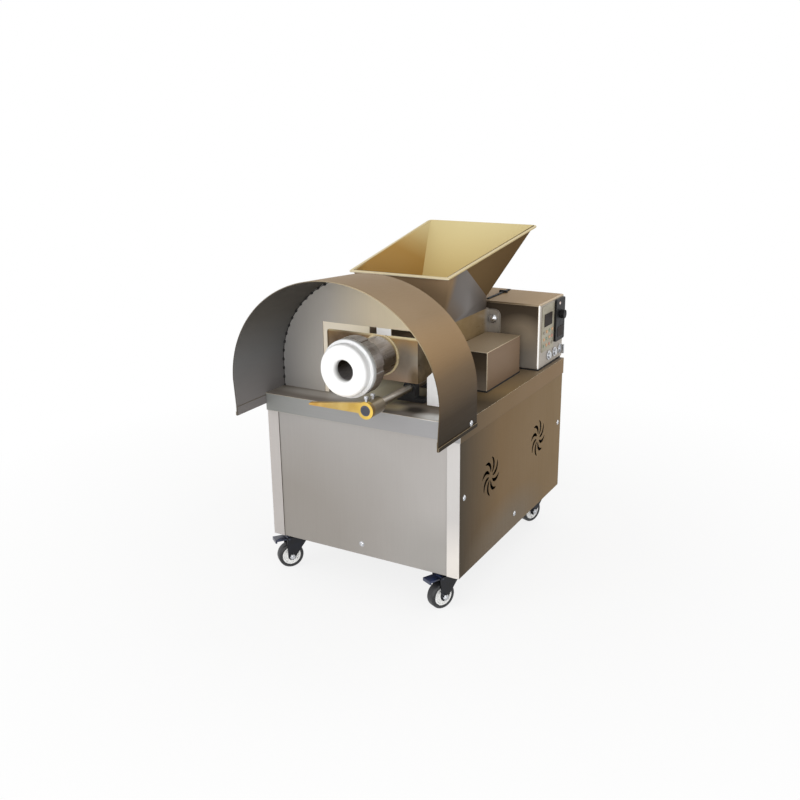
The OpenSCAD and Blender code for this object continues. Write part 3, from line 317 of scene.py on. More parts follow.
sideLow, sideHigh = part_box("right_side_panel")
# near black on the cut walls of the vents: painted shade in the cuts
cutDark = (46, 38, 28)  # cut walls of the vents
# tones along the hood's front edge, pale right of the middle and dark at the legs: a painted highlight and
# painted shade
rimTones = graded("x", (-0.25, (84, 80, 74)), (-0.05, (120, 110, 94)), (0.08, (196, 178, 144)),
                  (0.2, (178, 160, 128)), (0.25, (88, 75, 57)))
# cream inside the hopper, paler higher up: painted warm reflection
creamTones = graded("z", (0.62, (222, 196, 126)), (0.78, (236, 223, 170)))
sheetLooks = {
    # side panels: darker towards the front, bright fronts of the posts with a paler foot, a darker patch low
    # in the middle: painted highlights and painted shade
    "sideSteel": brushed(
        graded("y", (-0.26, (71, 61, 47)), (-0.05, (122, 98, 66)), (0.34, (133, 110, 77))),
        graded("y", (sideLow.y, (187, 182, 179)), (sideLow.y + 0.004, cutDark)),
        graded("z", (sideHigh.z - 0.03, cutDark), (sideHigh.z, (140, 125, 105))), upright,
        patches=[((sideHigh.x, sideLow.y, 0.22), (0.1, 0.001, 0.9), (203, 200, 198), 1.0),
                 ((sideHigh.x, sideLow.y, 0.09), (0.1, 0.001, 0.14), (236, 230, 224), 0.8),
                 ((sideHigh.x, 0.0, 0.1), (0.1, 0.25, 0.1), (118, 110, 98), 0.6)]),
    # front and rear sheets: lighter to the right, two darker patches low down: painted shade
    "frontSteel": brushed(
        (140, 132, 122), graded("x", (-0.24, (165, 162, 160)), (0.24, (177, 173, 170))),
        (168, 164, 158), upright,
        patches=[((-0.2, deckLow.y, 0.12), (0.4, 0.1, 0.32), (148, 142, 135), 0.75),
                 ((0.2, deckLow.y, 0.12), (0.16, 0.1, 0.12), (162, 159, 155), 0.7)]),
    # deck: top darker behind the plate, cream and white patches under the chamber and at the right, a
    # near-black patch by the tab: painted reflections, painted shade and a painted shadow
    "deckSteel": brushed(
        graded("y", (-0.26, (92, 77, 58)), (-0.05, (125, 102, 72)), (0.34, (139, 114, 84))),
        graded("x", (-0.25, (138, 139, 136)), (0.1, (163, 162, 163))),
        graded("y", (-0.266, (160, 152, 145)), (-0.2, (150, 140, 128)), (-0.17, (100, 88, 72)),
               (-0.1, (84, 72, 55)), (0.0, (140, 118, 84)), (0.34, (134, 120, 104))), crosswise,
        patches=[(spot(0.0, 0.15, 0), (0.09, 0.13, 0.02), (255, 246, 214), 1.0),
                 (spot(0.06, 0.045, 0), (0.045, 0.03, 0.02), (250, 234, 196), 0.9),
                 (spot(0.118, 0.047, 0), (0.035, 0.03, 0.02), (34, 30, 26), 0.8),
                 (spot(0.176, 0.018, 0), (0.05, 0.03, 0.003), (255, 255, 252), 1.0),
                 (spot(-0.14, 0.05, 0), (0.14, 0.03, 0.003), (212, 208, 202), 0.85)]),
    # hood outside: dark at the foot, paler towards the shoulders: painted shade
    "hoodOuterSteel": brushed(
        graded("z", (0.42, (41, 32, 17)), (0.48, (57, 44, 27)), (0.56, (114, 94, 70)),
               (0.66, (187, 150, 104))), (140, 128, 108), (149, 125, 94), lengthwise),
    # hood inside: darker towards the crown: painted shade
    "hoodInnerSteel": brushed(
        graded("z", (0.42, (136, 132, 131)), (0.54, (117, 117, 117)), (0.64, (92, 89, 84)),
               (0.74, (65, 60, 53))), (150, 136, 114), (96, 90, 82), lengthwise, metal=0.1),
    "hoodEdgeSteel": brushed(rimTones, rimTones, (150, 136, 112), lengthwise),
    # back plate: darker to the left, warm near white to the right, a white patch at the tab: painted shade
    # and painted light
    "plateSteel": brushed(
        (150, 140, 128), graded("x", (-0.24, (147, 145, 143)), (-0.12, (187, 182, 175)),
                                (0.0, (227, 213, 186)), (0.128, (231, 217, 184))),
        (170, 160, 146), upright, metal=0.0,
        patches=[(spot(0.172, 0.073, 0.042), (0.12, 0.05, 0.12), white, 1.0)]),
    # gear cover: front pale at the foot and dark higher up, a paler patch on its side: painted shade and a
    # painted reflection
    "coverSteel": brushed(
        (134, 112, 91), graded("z", (0.445, (135, 124, 111)), (0.50, (81, 70, 56)), (0.54, (57, 48, 39))),
        (162, 144, 119), lengthwise,
        patches=[(spot(0.236, 0.26, 0.06), (0.012, 0.14, 0.1), (146, 124, 94), 0.6)]),
    # drive and control cases: front pale low and dark higher up, a lit patch on the control front: painted
    # shade and painted light
    "boxSteel": brushed(
        (182, 175, 166), graded("z", (0.445, (146, 140, 132)), (0.50, (134, 125, 113)),
                                (0.545, (91, 81, 69)), (0.61, (68, 58, 47))),
        (174, 148, 113), lengthwise,
        patches=[(spot(0.19, 0.461, 0.092), (0.07, 0.03, 0.05), (172, 156, 134), 0.6)]),
    # edge finishes: pale tones on rounded edges, a near-white corner on the control case, the deck's edge
    # pale at its top and dark at its foot: painted highlights and painted shade
    "edgeSteel": brushed((196, 178, 148), (220, 206, 182), (196, 180, 152), anyWay, rough=0.3, metal=0.6),
    "boxEdgeSteel": brushed((170, 156, 134), (170, 154, 130), (168, 148, 120), anyWay,
                            corner=(255, 253, 250), rough=0.3, metal=0.9),
    "deckEdgeSteel": brushed(
        graded("z", (deckLow.z, (70, 57, 40)), (deckHigh.z, (255, 246, 220))),
        (214, 204, 186), (250, 236, 206), anyWay, rough=0.3),
    "trimSteel": brushed(
        (226, 210, 178), graded("x", (-0.14, (252, 242, 224)), (0.0, (255, 244, 218)),
                                (0.004, (255, 255, 253)), (0.04, (255, 255, 253))),
        (240, 226, 196), crosswise, metal=0.0),
    # gold-brown and cream inside the hopper: painted warm reflections, paler higher up
    "hopperInnerSteel": brushed(
        graded("z", (0.60, (170, 131, 66)), (0.78, (185, 145, 78))), creamTones, creamTones, upright,
        metal=0.0, cloud=0.06, level=(0.6, 0.95)),
    # outside of the hopper: pale grey lower facets and brown upper facets, the same steel lit and shaded:
    # painted reflection and painted shade
    "hopperLowSteel": brushed(
        graded("y", (-0.08, (112, 106, 102)), (0.06, (134, 130, 128)), (0.2, (104, 92, 80))),
        graded("z", (0.60, (112, 94, 71)), (0.71, (153, 129, 101))), (150, 132, 100), lengthwise,
        rough=0.3, metal=0.3, cloud=0.3),
    "hopperHighSteel": brushed(
        graded("z", (0.62, (102, 83, 57)), (0.74, (123, 100, 70))), (84, 68, 50), (150, 132, 100),
        lengthwise, metal=0.0, shine=0.0, cloud=0.2),
    # pale cream tones on the lip: painted highlight and warm reflection
    "rimSteel": brushed((196, 176, 130), (236, 224, 194), (222, 206, 164), anyWay, rough=0.3),
}
turnedLooks = {
    # chamber: side and top darker towards the front, a cream band along the top edge of the front: painted
    # shade and a painted highlight
    "chamberMetal": turned(
        graded("y", (-0.186, (84, 70, 46)), (-0.08, (100, 83, 57)), (0.02, (149, 125, 86)),
               (0.16, (140, 119, 87))),
        graded("z", (0.493, (170, 142, 118)), (0.55, (170, 162, 146)), (0.588, (178, 142, 94)),
               (0.592, (255, 238, 190)), (0.596, (255, 244, 206))),
        graded("y", (-0.18, (52, 44, 33)), (-0.08, (60, 50, 38)), (0.0, (160, 138, 104))), lengthwise,
        patches=[(spot(0.12, 0.449, 0.125), (0.06, 0.03, 0.07), (158, 152, 144), 0.95),
                 (spot(0.075, 0.08, 0.10), (0.03, 0.02, 0.05), (134, 122, 110), 0.7),
                 (spot(-0.075, 0.08, 0.12), (0.08, 0.02, 0.07), (86, 65, 42), 0.9),
                 (spot(0.1, 0.08, 0.06), (0.02, 0.02, 0.03), (107, 88, 58), 0.8)],
        ring=0.1, stainColour=(182, 156, 126), metal=0.1),
    # tube: near white on top and dark on the sides, cream at the collar: painted highlight and painted shade
    "tubeMetal": turned(
        graded("y", (-0.31, (84, 71, 56)), (-0.194, (92, 78, 60)), (-0.193, (226, 206, 160)),
               (-0.186, (240, 220, 176))), (255, 238, 196),
        graded("y", (-0.31, (236, 230, 232)), (-0.20, (250, 244, 242)), (-0.193, (240, 222, 180)),
               (-0.186, (240, 222, 180))), alongTube, ring=0.5, stain=0.1, rough=0.22, metal=0.15),
    "nutMetal": turned((136, 122, 110), (176, 168, 158), (214, 210, 212), alongTube, ring=0.6, stain=0.5,
                       stainColour=(84, 70, 58), metal=0.25),
    "hubMetal": turned((134, 122, 103), (84, 88, 104), (150, 138, 116), around),
    # shafts: pale top over dark sides: a painted highlight
    "shaftMetal": turned((120, 108, 90), (80, 82, 92), (230, 224, 214), around, metal=0.5),
    "augerMetal": turned((132, 126, 116), (120, 114, 106), (176, 170, 158), (30, 3, 30), metal=0.8),
    "chrome": turned((190, 192, 196), (210, 212, 216), (236, 237, 239), (1, 1, 1), grain=40.0, ring=0.12,
                     stain=0.1, stainColour=(120, 122, 126), rough=0.1, metal=0.9),
}
coatLooks = {
    "castBlack": coating((24, 24, 26), (38, 37, 37), mottle=60, fine=900, rough=0.40, bump=0.30, metal=0.2),
    # the bluish second tones of the fork and pedal coats are a painted sheen
    "castorCoat": coating((8, 8, 11), (14, 18, 30), mottle=45, fine=700, rough=0.24, bump=0.06, shine=0.35),
    "pedalCoat": coating((14, 18, 34), (34, 48, 84), mottle=60, fine=700, rough=0.22, bump=0.1, coat=0.3),
    "treadRubber": coating((30, 30, 32), (46, 46, 48), mottle=80, fine=1200, rough=0.36, bump=0.20),
    "hubPlastic": coating((255, 255, 254), (246, 246, 244), mottle=50, fine=600, rough=0.34, bump=0.05),
    "blackPlastic": coating((18, 18, 19), (30, 29, 29), mottle=70, fine=1500, rough=0.42, bump=0.15,
                            shine=0.2),
    "sealRubber": coating((14, 14, 15), (28, 27, 27), mottle=90, fine=1500, rough=0.62, bump=0.30),
    "motorPaint": coating((84, 92, 96), (98, 106, 110), mottle=40, fine=400, rough=0.42, bump=0.25),
    "oiledSteel": coating((74, 70, 66), (104, 98, 90), mottle=55, fine=700, rough=0.32, bump=0.15,
                          metal=0.85),
    "seamBlack": coating((12, 11, 10), (26, 24, 22), mottle=120, fine=900, rough=0.55, bump=0.20),
    "lampLens": coating((236, 224, 214), (222, 196, 184), mottle=300, fine=900, rough=0.20, bump=0.05,
                        coat=0.5),
}


# white nylon: faint turning rings round the outlet, greyer on the flange, and greyer deep in the mouth as
# painted shade
def nylonFinish(name, look, front):
    nylon = Finish(name)
    step, soft = front + look["step"], look["stepSoft"]
    out = ((nylon.x - augerAxis.x) ** 2 + (nylon.z - augerAxis.z) ** 2) ** 0.5
    rings = nylon.add("ShaderNodeMath", {"operation": "SINE"}, {0: out * look["rings"]})
    dust = nylon.noise(40, 4.0).fit(0.4, 0.75)
    # deep: greyer towards the inside of the mouth, a painted shade
    deep = nylon.y.fit(front, front + look["shadeDeep"]) * (1 - out.fit(*look["shadeOut"]))
    flange = nylon.y.fit(step - soft, step + soft) * out.fit(*look["flangeOut"])
    colour = nylon.mix(dust, (253, 253, 253), (247, 247, 247))
    colour = nylon.mix(deep * 0.3, colour, (226, 222, 212))
    colour = nylon.mix(flange, colour, (230, 231, 232))
    return nylon.close(colour, 0.36 + 0.12 * dust, 0.0, nylon.bump(rings, 0.03))


# yellow blade: brushed along its length, paler where it is rubbed
def bladeFinish(name):
    blade = Finish(name)
    streaks = blade.noise(4.0, 4.0, (3, 30, 60)).fit(*middle)
    rubbed = blade.noise(36, 4.0).fit(*upper)
    base = graded("x", (-0.06, (185, 138, 52)), (0.0, (180, 153, 87)), (0.05, (184, 150, 66)),
                  (0.09, (232, 196, 86)))
    colour = blade.mix(streaks * 0.25, base, (196, 150, 66))
    colour = blade.mix(rubbed * 0.25, colour, (236, 210, 140))
    # darker on faces turned towards +X: painted shade
    colour = blade.mix(blade.sideways.fit(*middle), colour, (128, 100, 56))
    return blade.close(colour, 0.38 + 0.12 * streaks, 0.2, blade.bump(streaks, 0.05))


# silver film of the keypad, with faint specks
def filmFinish(name):
    film = Finish(name)
    sheen = film.noise(14, 4.0, (1, 1, 3)).fit(*middle)
    specks = film.noise(420, 2.0).fit(0.55, 0.7)
    colour = film.mix(sheen, (169, 162, 139), (147, 139, 118))
    colour = film.mix(specks * 0.12, colour, (110, 104, 98))
    return film.close(colour, 0.30 + 0.12 * sheen, 0.25, film.bump(specks, 0.05, 0.0001))


# dark glass of the display
def glassFinish(name):
    glass = Finish(name)
    haze = glass.noise(60).fit(0.4, 0.7)
    return glass.close(glass.mix(haze, (40, 33, 29), (50, 42, 37)), 0.3 + 0.12 * haze, shine=0.03)


# keys: green, amber, red and grey by the tone that each key carries
def keyFinish(name):
    key = Finish(name)
    tone = key.add("ShaderNodeAttribute", {"attribute_name": "tone"}, output="Fac")
    stops = [(0.0, (72, 126, 92)), (0.4, (222, 150, 72)), (0.8, (190, 74, 52)), (1.0, (92, 88, 84))]
    colour = key.add("ShaderNodeValToRGB", {"stops": stops}, {"Fac": tone})
    worn = key.noise(160).fit(0.5, 0.75)
    colour = key.mix(0.35 + 0.3 * worn, colour, (178, 166, 146))
    return key.close(colour, 0.38 + 0.2 * worn, 0.0, key.bump(worn, 0.05))


# mesh tools
def plainMesh(name, points, lines=(), faces=()):
    mesh = bpy.data.meshes.new(name)
    mesh.from_pydata(points, lines, faces)
    return mesh


def addPiece(name, mesh):
    piece = bpy.data.objects.new(name, mesh)
    scene.collection.objects.link(piece)
    return piece


def shadeSmooth(mesh, angle):
    mesh.shade_smooth()
    mesh.set_sharp_from_angle(angle=math.radians(angle))


def meshPiece(name, shape, angle=sharpAngle):
    mesh = bpy.data.meshes.new(name)
    shape.to_mesh(mesh)
    shape.free()
    shadeSmooth(mesh, angle)
    return addPiece(name, mesh)


def pieceFrom(name, shape, angle=sharpAngle):
    bmesh.ops.remove_doubles(shape, verts=shape.verts, dist=smallest)
    bmesh.ops.recalc_face_normals(shape, faces=shape.faces)
    return meshPiece(name, shape, angle)


# fresh copy of a CAD node with welded corners and whole flat faces
def copyOf(name, node):
    source = frame["nodes"][node].data
    faces = [face.vertices[:] for face in source.polygons]
    plain = plainMesh(name, [corner.co for corner in source.vertices], faces=faces)
    shape = bmesh.new()
    shape.from_mesh(plain)
    bpy.data.meshes.remove(plain)
    bmesh.ops.remove_doubles(shape, verts=shape.verts, dist=weld)
    bmesh.ops.dissolve_limit(shape, angle_limit=math.radians(flatAngle), verts=shape.verts, edges=shape.edges)
    return meshPiece(name, shape)


# widths of the rounded edges
edges = {"film": 0.0004, "bolt": 0.0005, "rod": 0.0006, "hood": 0.0007, "sheet": 0.0008, "hub": 0.001,
         "cast": 0.0012, "deck": 0.0014, "cover": 0.0016, "blade": 0.0018, "block": 0.002, "control": 0.0045}


def roundEdges(piece, kind, segments=2, material=-1):
    edge = piece.modifiers.new("edge", "BEVEL")
    edge.width = edges[kind]
    edge.segments = segments
    edge.limit_method = "ANGLE"
    edge.angle_limit = math.radians(sharpAngle)
    edge.harden_normals = True
    edge.material = material
    return piece


def brick(shape, low, high, finish=0):
    ends = [[low[axis], high[axis]] for axis in range(3)]
    corners = [shape.verts.new((x, y, z)) for x in ends[0] for y in ends[1] for z in ends[2]]
    for face in ((0, 1, 3, 2), (4, 6, 7, 5), (0, 4, 5, 1), (2, 3, 7, 6), (0, 2, 6, 4), (1, 5, 7, 3)):
        shape.faces.new([corners[i] for i in face]).material_index = finish


# faces from each loop of points to the next, and from the last to the first where closed
def joinLoops(shape, loops, closed=False):
    for near, far in zip(loops, loops[1:] + loops[:1] if closed else loops[1:]):
        for i in range(len(near)):
            j = (i + 1) % len(near)
            shape.faces.new((near[i], near[j], far[j], far[i]))


# profile of (radius, height) turned about an axis through a place
def turn(shape, profile, sides, place=(0, 0, 0), axis=(0, 0, 1), closed=False):
    spin = Vector(axis).to_track_quat("Z", "Y").to_matrix()
    rings = []
    for radius, height in profile:
        ring = []
        for i in range(sides):
            angle = 2 * math.pi * i / sides
            out = Vector((radius * math.cos(angle), radius * math.sin(angle), height))
            ring.append(shape.verts.new(Vector(place) + spin @ out))
        rings.append(ring)
    joinLoops(shape, rings, closed)


# quarter round in steps, as shares (0, 0) to (1, 1)
def quarter(steps=8):
    angles = [math.pi / 2 * step / steps for step in range(steps + 1)]
    return [(math.sin(angle), 1 - math.cos(angle)) for angle in angles]


# outline with rounded corners, in the plane
def roundedLoop(corners, radii, steps=6):
    points = []
    for i, corner in enumerate(corners):
        before = (corners[i - 1] - corner).normalized() * radii[i]
        after = (corners[(i + 1) % len(corners)] - corner).normalized() * radii[i]
        for step in range(steps + 1):
            t = step / steps
            points.append(corner + before * (1 - t) ** 2 + after * t ** 2)
    return points


def dress(piece, slot, *nodes, body="machine"):
    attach(piece, body)
    if nodes:
        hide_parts(*nodes)
    return piece


def wear(piece, *names):
    for name in names:
        piece.data.materials.append(finishes[name])
    return piece


# piece taken from a node of the frame: softened edges and its finish, edges in the second one, which paints
# highlights and shade on them
def softPiece(name, node, kind, slot, *names, body="machine", segments=2):
    piece = wear(copyOf(name, node), *names)
    roundEdges(piece, kind, segments, 1 if len(names) > 1 else -1)
    return dress(piece, slot, node, body=body)


# CAD nodes that keep their shape get a finish
def finishNodes(name, *nodes):
    for node in nodes:
        for slot in frame["nodes"][node].material_slots:
            slot.material = finishes[name]


# patterns: geometry nodes with named inputs, turned into plain meshes
class Pattern(Bench):
    def __init__(self, name, **inputs):
        super().__init__(bpy.data.node_groups.new(name, "GeometryNodeTree"))
        face = self.tree.interface
        sockets = {"Geometry": "Geometry", "Shape": "Object", **inputs, "Finish": "Material"}
        for title, kind in sockets.items():
            face.new_socket(title, in_out="INPUT", socket_type="NodeSocket" + kind)
        face.new_socket("Geometry", in_out="OUTPUT", socket_type="NodeSocketGeometry")
        self.given = self.tree.nodes.new("NodeGroupInput")

    def take(self, title):
        return Wire(self, self.given.outputs[title])

    # the shape on each point, its Z along a direction, as one painted mesh
    def close(self, points, direction):
        rotation = self.add("FunctionNodeAlignRotationToVector", {"axis": "Z"}, {"Vector": direction})
        shape = self.add("GeometryNodeObjectInfo", {}, {"Object": self.take("Shape")}, output="Geometry")
        row = self.add("GeometryNodeInstanceOnPoints", {}, {
            "Points": points, "Instance": shape, "Rotation": rotation})
        whole = self.add("GeometryNodeRealizeInstances", {}, {0: row})
        painted = self.add("GeometryNodeSetMaterial", {}, {
            "Geometry": whole, "Material": self.take("Finish")})
        end = self.tree.nodes.new("NodeGroupOutput")
        self.tree.links.new(painted.socket, end.inputs[0])
        return self.tree


# one shape on each point of a mesh, its Z to the point's own facing
def scatterPattern():
    pattern = Pattern("scatter")
    settings = {"data_type": "FLOAT_VECTOR"}
    facing = pattern.add("GeometryNodeInputNamedAttribute", settings, {"Name": "facing"})
    return pattern.close(pattern.take("Geometry"), facing)


# one shape at even steps along a path, its Z along the path
def pathPattern():
    pattern = Pattern("pathRow", Step="Float")
    path = pattern.add("GeometryNodeMeshToCurve", {}, {0: pattern.take("Geometry")})
    even = pattern.add("GeometryNodeResampleCurve", {"mode": "LENGTH"}, {
        "Curve": path, "Length": pattern.take("Step")})
    return pattern.close(even, pattern.add("GeometryNodeInputTangent"))


# a pattern's mesh, grown on points from a shape and a finish
def grow(name, tree, points, shape, finish, **values):
    piece = addPiece(name, points)
    modifier = piece.modifiers.new("pattern", "NODES")
    modifier.node_group = tree
    values.update(Shape=shape, Finish=finishes[finish])
    for socket in tree.interface.items_tree:
        if socket.in_out == "INPUT" and socket.name in values:
            modifier[socket.identifier] = values[socket.name]
    graph = bpy.context.evaluated_depsgraph_get()
    mesh = bpy.data.meshes.new_from_object(
        piece.evaluated_get(graph), preserve_all_data_layers=True, depsgraph=graph)
    piece.modifiers.remove(modifier)
    piece.data = mesh
    shadeSmooth(mesh, roundAngle)
    return piece


# points with a facing, and a tone where one is given
def pointCloud(name, places, facings, tones=None):
    mesh = plainMesh(name, places)
    facing = mesh.attributes.new("facing", "FLOAT_VECTOR", "POINT")
    facing.data.foreach_set("vector", [part for vector in facings for part in vector])
    if tones:
        tone = mesh.attributes.new("tone", "FLOAT", "POINT")
        tone.data.foreach_set("value", tones)
    return mesh


# one piece of equal shapes, each on its place and to its facing
def scatter(name, places, facings, shape, finish, tones=None):
    return grow(name, scatterTree, pointCloud(name, places, facings, tones), shape, finish)


# shape that a pattern repeats, removed at the end
def template(name, shape, angle=roundAngle):
    piece = pieceFrom(name, shape, angle)
    templates.append(piece)
    return piece


# stage: white all round, a pale floor and soft lamps
studio = {"ambient": 0.68, "floorColour": (240, 240, 239), "floorSize": 14.0, "floorGlow": 0.82,
          "fadeFrom": 0.6, "fadeTo": 1.5, "aim": (0, 0, 0.4),
          "lamps": {"keyLamp": {"place": (-1.5, -3.0, 1.9), "size": 2.4, "power": 28},
                    "frontLamp": {"place": (0.7, -2.5, 0.85), "size": 1.2, "power": 14},
                    "fillLamp": {"place": (2.9, -1.7, 1.4), "size": 2.2, "power": 14},
                    "backLamp": {"place": (0.6, 2.6, 2.6), "size": 2.0, "power": 14}}}


def addWorld(look):
    world = bpy.data.worlds.new("studio")
    world.use_nodes = True
    world.node_tree.nodes.clear()
    scene.world = world
    bench = Bench(world.node_tree)
    lit = bench.add("ShaderNodeBackground", {}, {"Color": paint(white), "Strength": look["ambient"]})
    shown = bench.add("ShaderNodeBackground", {}, {"Color": paint(white), "Strength": 1.0})
    mixed = bench.add("ShaderNodeMixShader", {}, {0: bench.seen(), 1: lit, 2: shown})
    bench.add("ShaderNodeOutputWorld", {}, {"Surface": mixed})
    scene.view_settings.view_transform = "Standard"


def addFloor(look):
    half = look["floorSize"] / 2
    corners = [(-half, -half, 0), (half, -half, 0), (half, half, 0), (-half, half, 0)]
    floor = addPiece("floor", plainMesh("floor", corners, faces=[(0, 1, 2, 3)]))
    finish = Finish("floorFinish")
    finish.close(look["floorColour"], 0.8 + 0.1 * finish.noise(3).fit(0.2, 0.8))
    away = finish.vector("LENGTH", finish.place, output="Value").fit(look["fadeFrom"], look["fadeTo"])
    share = look["floorGlow"] + (1 - look["floorGlow"]) * away
    finish.glow(share * finish.seen())
    floor.data.materials.append(finish.material)


def addLamps(look):
    for name, lamp in look["lamps"].items():
        light = bpy.data.lights.new(name, "AREA")
        light.energy = lamp["power"]
        light.size = lamp["size"]
        holder = bpy.data.objects.new(name, light)
        holder.location = lamp["place"]
        aim = Vector(look["aim"]) - holder.location
        holder.rotation_euler = aim.to_track_quat("-Z", "Y").to_euler()
        scene.collection.objects.link(holder)


addWorld(studio)
addFloor(studio)
addLamps(studio)
finishes = {}
for makeFinish, looks in ((sheetSteel, sheetLooks), (turnedMetal, turnedLooks), (coated, coatLooks)):
    for title, look in looks.items():
        finishes[title] = makeFinish(title, look)
for makeFinish, title in ((bladeFinish, "bladeYellow"), (filmFinish, "silverFilm"),
                          (glassFinish, "displayGlass"), (keyFinish, "keyColours")):
    finishes[title] = makeFinish(title)
scatterTree = scatterPattern()
pathTree = pathPattern()
templates = []
print("finishes and patterns made")

# cabinet
softPiece("left_side", "left_side_panel", "sheet", "side_steel", "sideSteel")
softPiece("right_side", "right_side_panel", "sheet", "side_steel", "sideSteel")
softPiece("front_sheet", "front_panel", "sheet", "front_steel", "frontSteel")
softPiece("rear_sheet", "rear_panel", "sheet", "front_steel", "frontSteel")
softPiece("deck_sheet", "deck", "deck", "deck_steel", "deckSteel", "deckEdgeSteel")

# screws: domed heads with a socket
screw = {"radius": 0.0055, "height": 0.003, "washer": 0.0066, "washerThick": 0.0006, "sides": 24,
         "socket": 0.0022, "socketDeep": 0.0016,
         "sidePlaces": [(0.024, -0.171), (0.590, -0.171), (0.307, -0.320)],
         "hoodPlace": (0.046, -0.009), "hoodSheet": 0.002, "endRise": -0.328}


def screwTemplate(look):
    shape = bmesh.new()
    base, span = look["washerThick"], look["height"] - look["washerThick"]
    dome = [(look["washer"], 0), (look["washer"], base)]
    for out, rise in quarter(6):
        dome.append((look["socket"] + (look["radius"] - look["socket"]) * (1 - rise), base + span * out))
    floor = look["height"] - look["socketDeep"]
    turn(shape, dome + [(look["socket"], floor), (0, floor)], look["sides"])
    return template("screwTemplate", shape)


def makeScrews():
    hoodX = deckHigh.x + screw["hoodSheet"]
    places, facings = [], []
    for side in (-1, 1):
        for along, above in screw["sidePlaces"]:
            places.append(spot(side * sideHigh.x, along, above))
        places.append(spot(side * hoodX, *screw["hoodPlace"]))
        facings += [(side, 0, 0)] * (len(screw["sidePlaces"]) + 1)
    for node, end, facing in (("front_panel", 0, -1), ("rear_panel", 1, 1)):
        places.append(Vector((0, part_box(node)[end].y, deckHigh.z + screw["endRise"])))
        facings.append((0, facing, 0))
    heads = scatter("panel_screw_heads", places, facings, screwTemplate(screw), "chrome")
    dress(heads, "bright_metal", "panel_screws")


makeScrews()

# rear louvres: pressed hoods over the slots
louvre = {"width": 0.13, "height": 0.009, "proud": 0.006, "pitch": 0.018, "count": 7, "first": -0.202,
          "sheet": 0.0012}


def makeLouvres():
    shape = bmesh.new()
    half = louvre["width"] / 2
    rows = [(louvre["proud"] * out, louvre["height"] * (1 - rise)) for out, rise in quarter()]
    nearRow = [shape.verts.new((-half, up, out)) for out, up in rows]
    farRow = [shape.verts.new((half, up, out)) for out, up in rows]
    for i in range(len(rows) - 1):
        shape.faces.new((nearRow[i], farRow[i], farRow[i + 1], nearRow[i + 1]))
    for row in (nearRow, farRow):
        foot = shape.verts.new((row[0].co.x, row[-1].co.y, row[0].co.z))
        shape.faces.new([foot] + row)
    bmesh.ops.recalc_face_normals(shape, faces=shape.faces)
    bmesh.ops.solidify(shape, geom=shape.faces[:], thickness=louvre["sheet"])
    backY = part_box("rear_panel")[1].y
    rises = [louvre["first"] + i * louvre["pitch"] for i in range(louvre["count"])]
    places = [Vector((0, backY, deckHigh.z + rise)) for rise in rises]
    cover = template("louvreTemplate", shape)
    dress(scatter("rear_louvres", places, [(0, 1, 0)] * len(places), cover, "frontSteel"), "front_steel")


makeLouvres()
print("cabinet dressed")

# guard: arched hood with hems, back plate, window trim and a beaded seam
hood = {"sheet": 0.002, "widest": 0.059, "rise": 0.235, "bulge": 0.004, "taper": 0.012, "hemHeight": 0.009,
        "hemThick": 0.002, "foldHeight": 0.021, "foldThick": 0.0014, "nip": 0.0003, "steps": 72}


# arch of the hood's inside, or of a sheet laid over it, at a share of the way from front to rear
def archLine(grown, drop, share):
    half = deckHigh.x + grown
    wide = half + hood["bulge"] * (1 - share)
    rise = hood["rise"] - hood["taper"] * share + grown
    bow = [math.pi * step / hood["steps"] for step in range(hood["steps"] + 1)]
    crown = [(wide * math.cos(angle), hood["widest"] + rise * math.sin(angle)) for angle in bow]
    return [(half, -drop), (half, 0)] + crown + [(-half, 0), (-half, -drop)]


def makeHood():
    low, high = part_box("guard_hood")
    shape = bmesh.new()

    def loop(share, grown):
        line = archLine(grown, deckHigh.z - low.z, share)
        end = low.y + (high.y - low.y) * share
        return [shape.verts.new((x, end, deckHigh.z + z)) for x, z in line]

    outside, inside, edge = 0, 1, 2
    order = [loop(0, hood["sheet"]), loop(0, 0), loop(1, 0), loop(1, hood["sheet"])]
    for near, far, finish in zip(order, order[1:] + order[:1], (edge, inside, outside, outside)):
        for i in range(len(near) - 1):
            shape.faces.new((near[i], near[i + 1], far[i + 1], far[i])).material_index = finish
    for i in (0, -1):
        shape.faces.new([ring[i] for ring in order])
    half, nip = deckHigh.x, hood["nip"]
    front, foot = low.y + nip, low.z + nip
    for side in (-1, 1):
        hem = sorted((side * (half + hood["sheet"] - nip), side * (half + hood["sheet"] + hood["hemThick"])))
        brick(shape, (hem[0], front, foot), (hem[1], high.y - nip, low.z + hood["hemHeight"]))
        fold = sorted((side * (half - hood["foldThick"]), side * (half + nip)))
        brick(shape, (fold[0], front, foot), (fold[1], deckLow.y - nip, low.z + hood["foldHeight"]), inside)
    piece = wear(pieceFrom("hood", shape), "hoodOuterSteel", "hoodInnerSteel", "hoodEdgeSteel")
    roundEdges(piece, "hood", material=edge)
    dress(piece, "hood_steel", "guard_hood")


makeHood()
softPiece("back_plate", "guard_back_plate", "rod", "front_steel", "plateSteel")
softPiece("trim_strip", "window_trim", "rod", "cream_steel", "trimSteel")

seam = {"dotLong": 0.0046, "dotWide": 0.0028, "dotSteps": 10, "lineWide": 0.0008, "inset": 0.0016,
        "step": 0.021, "sides": 12, "smooth": 60}


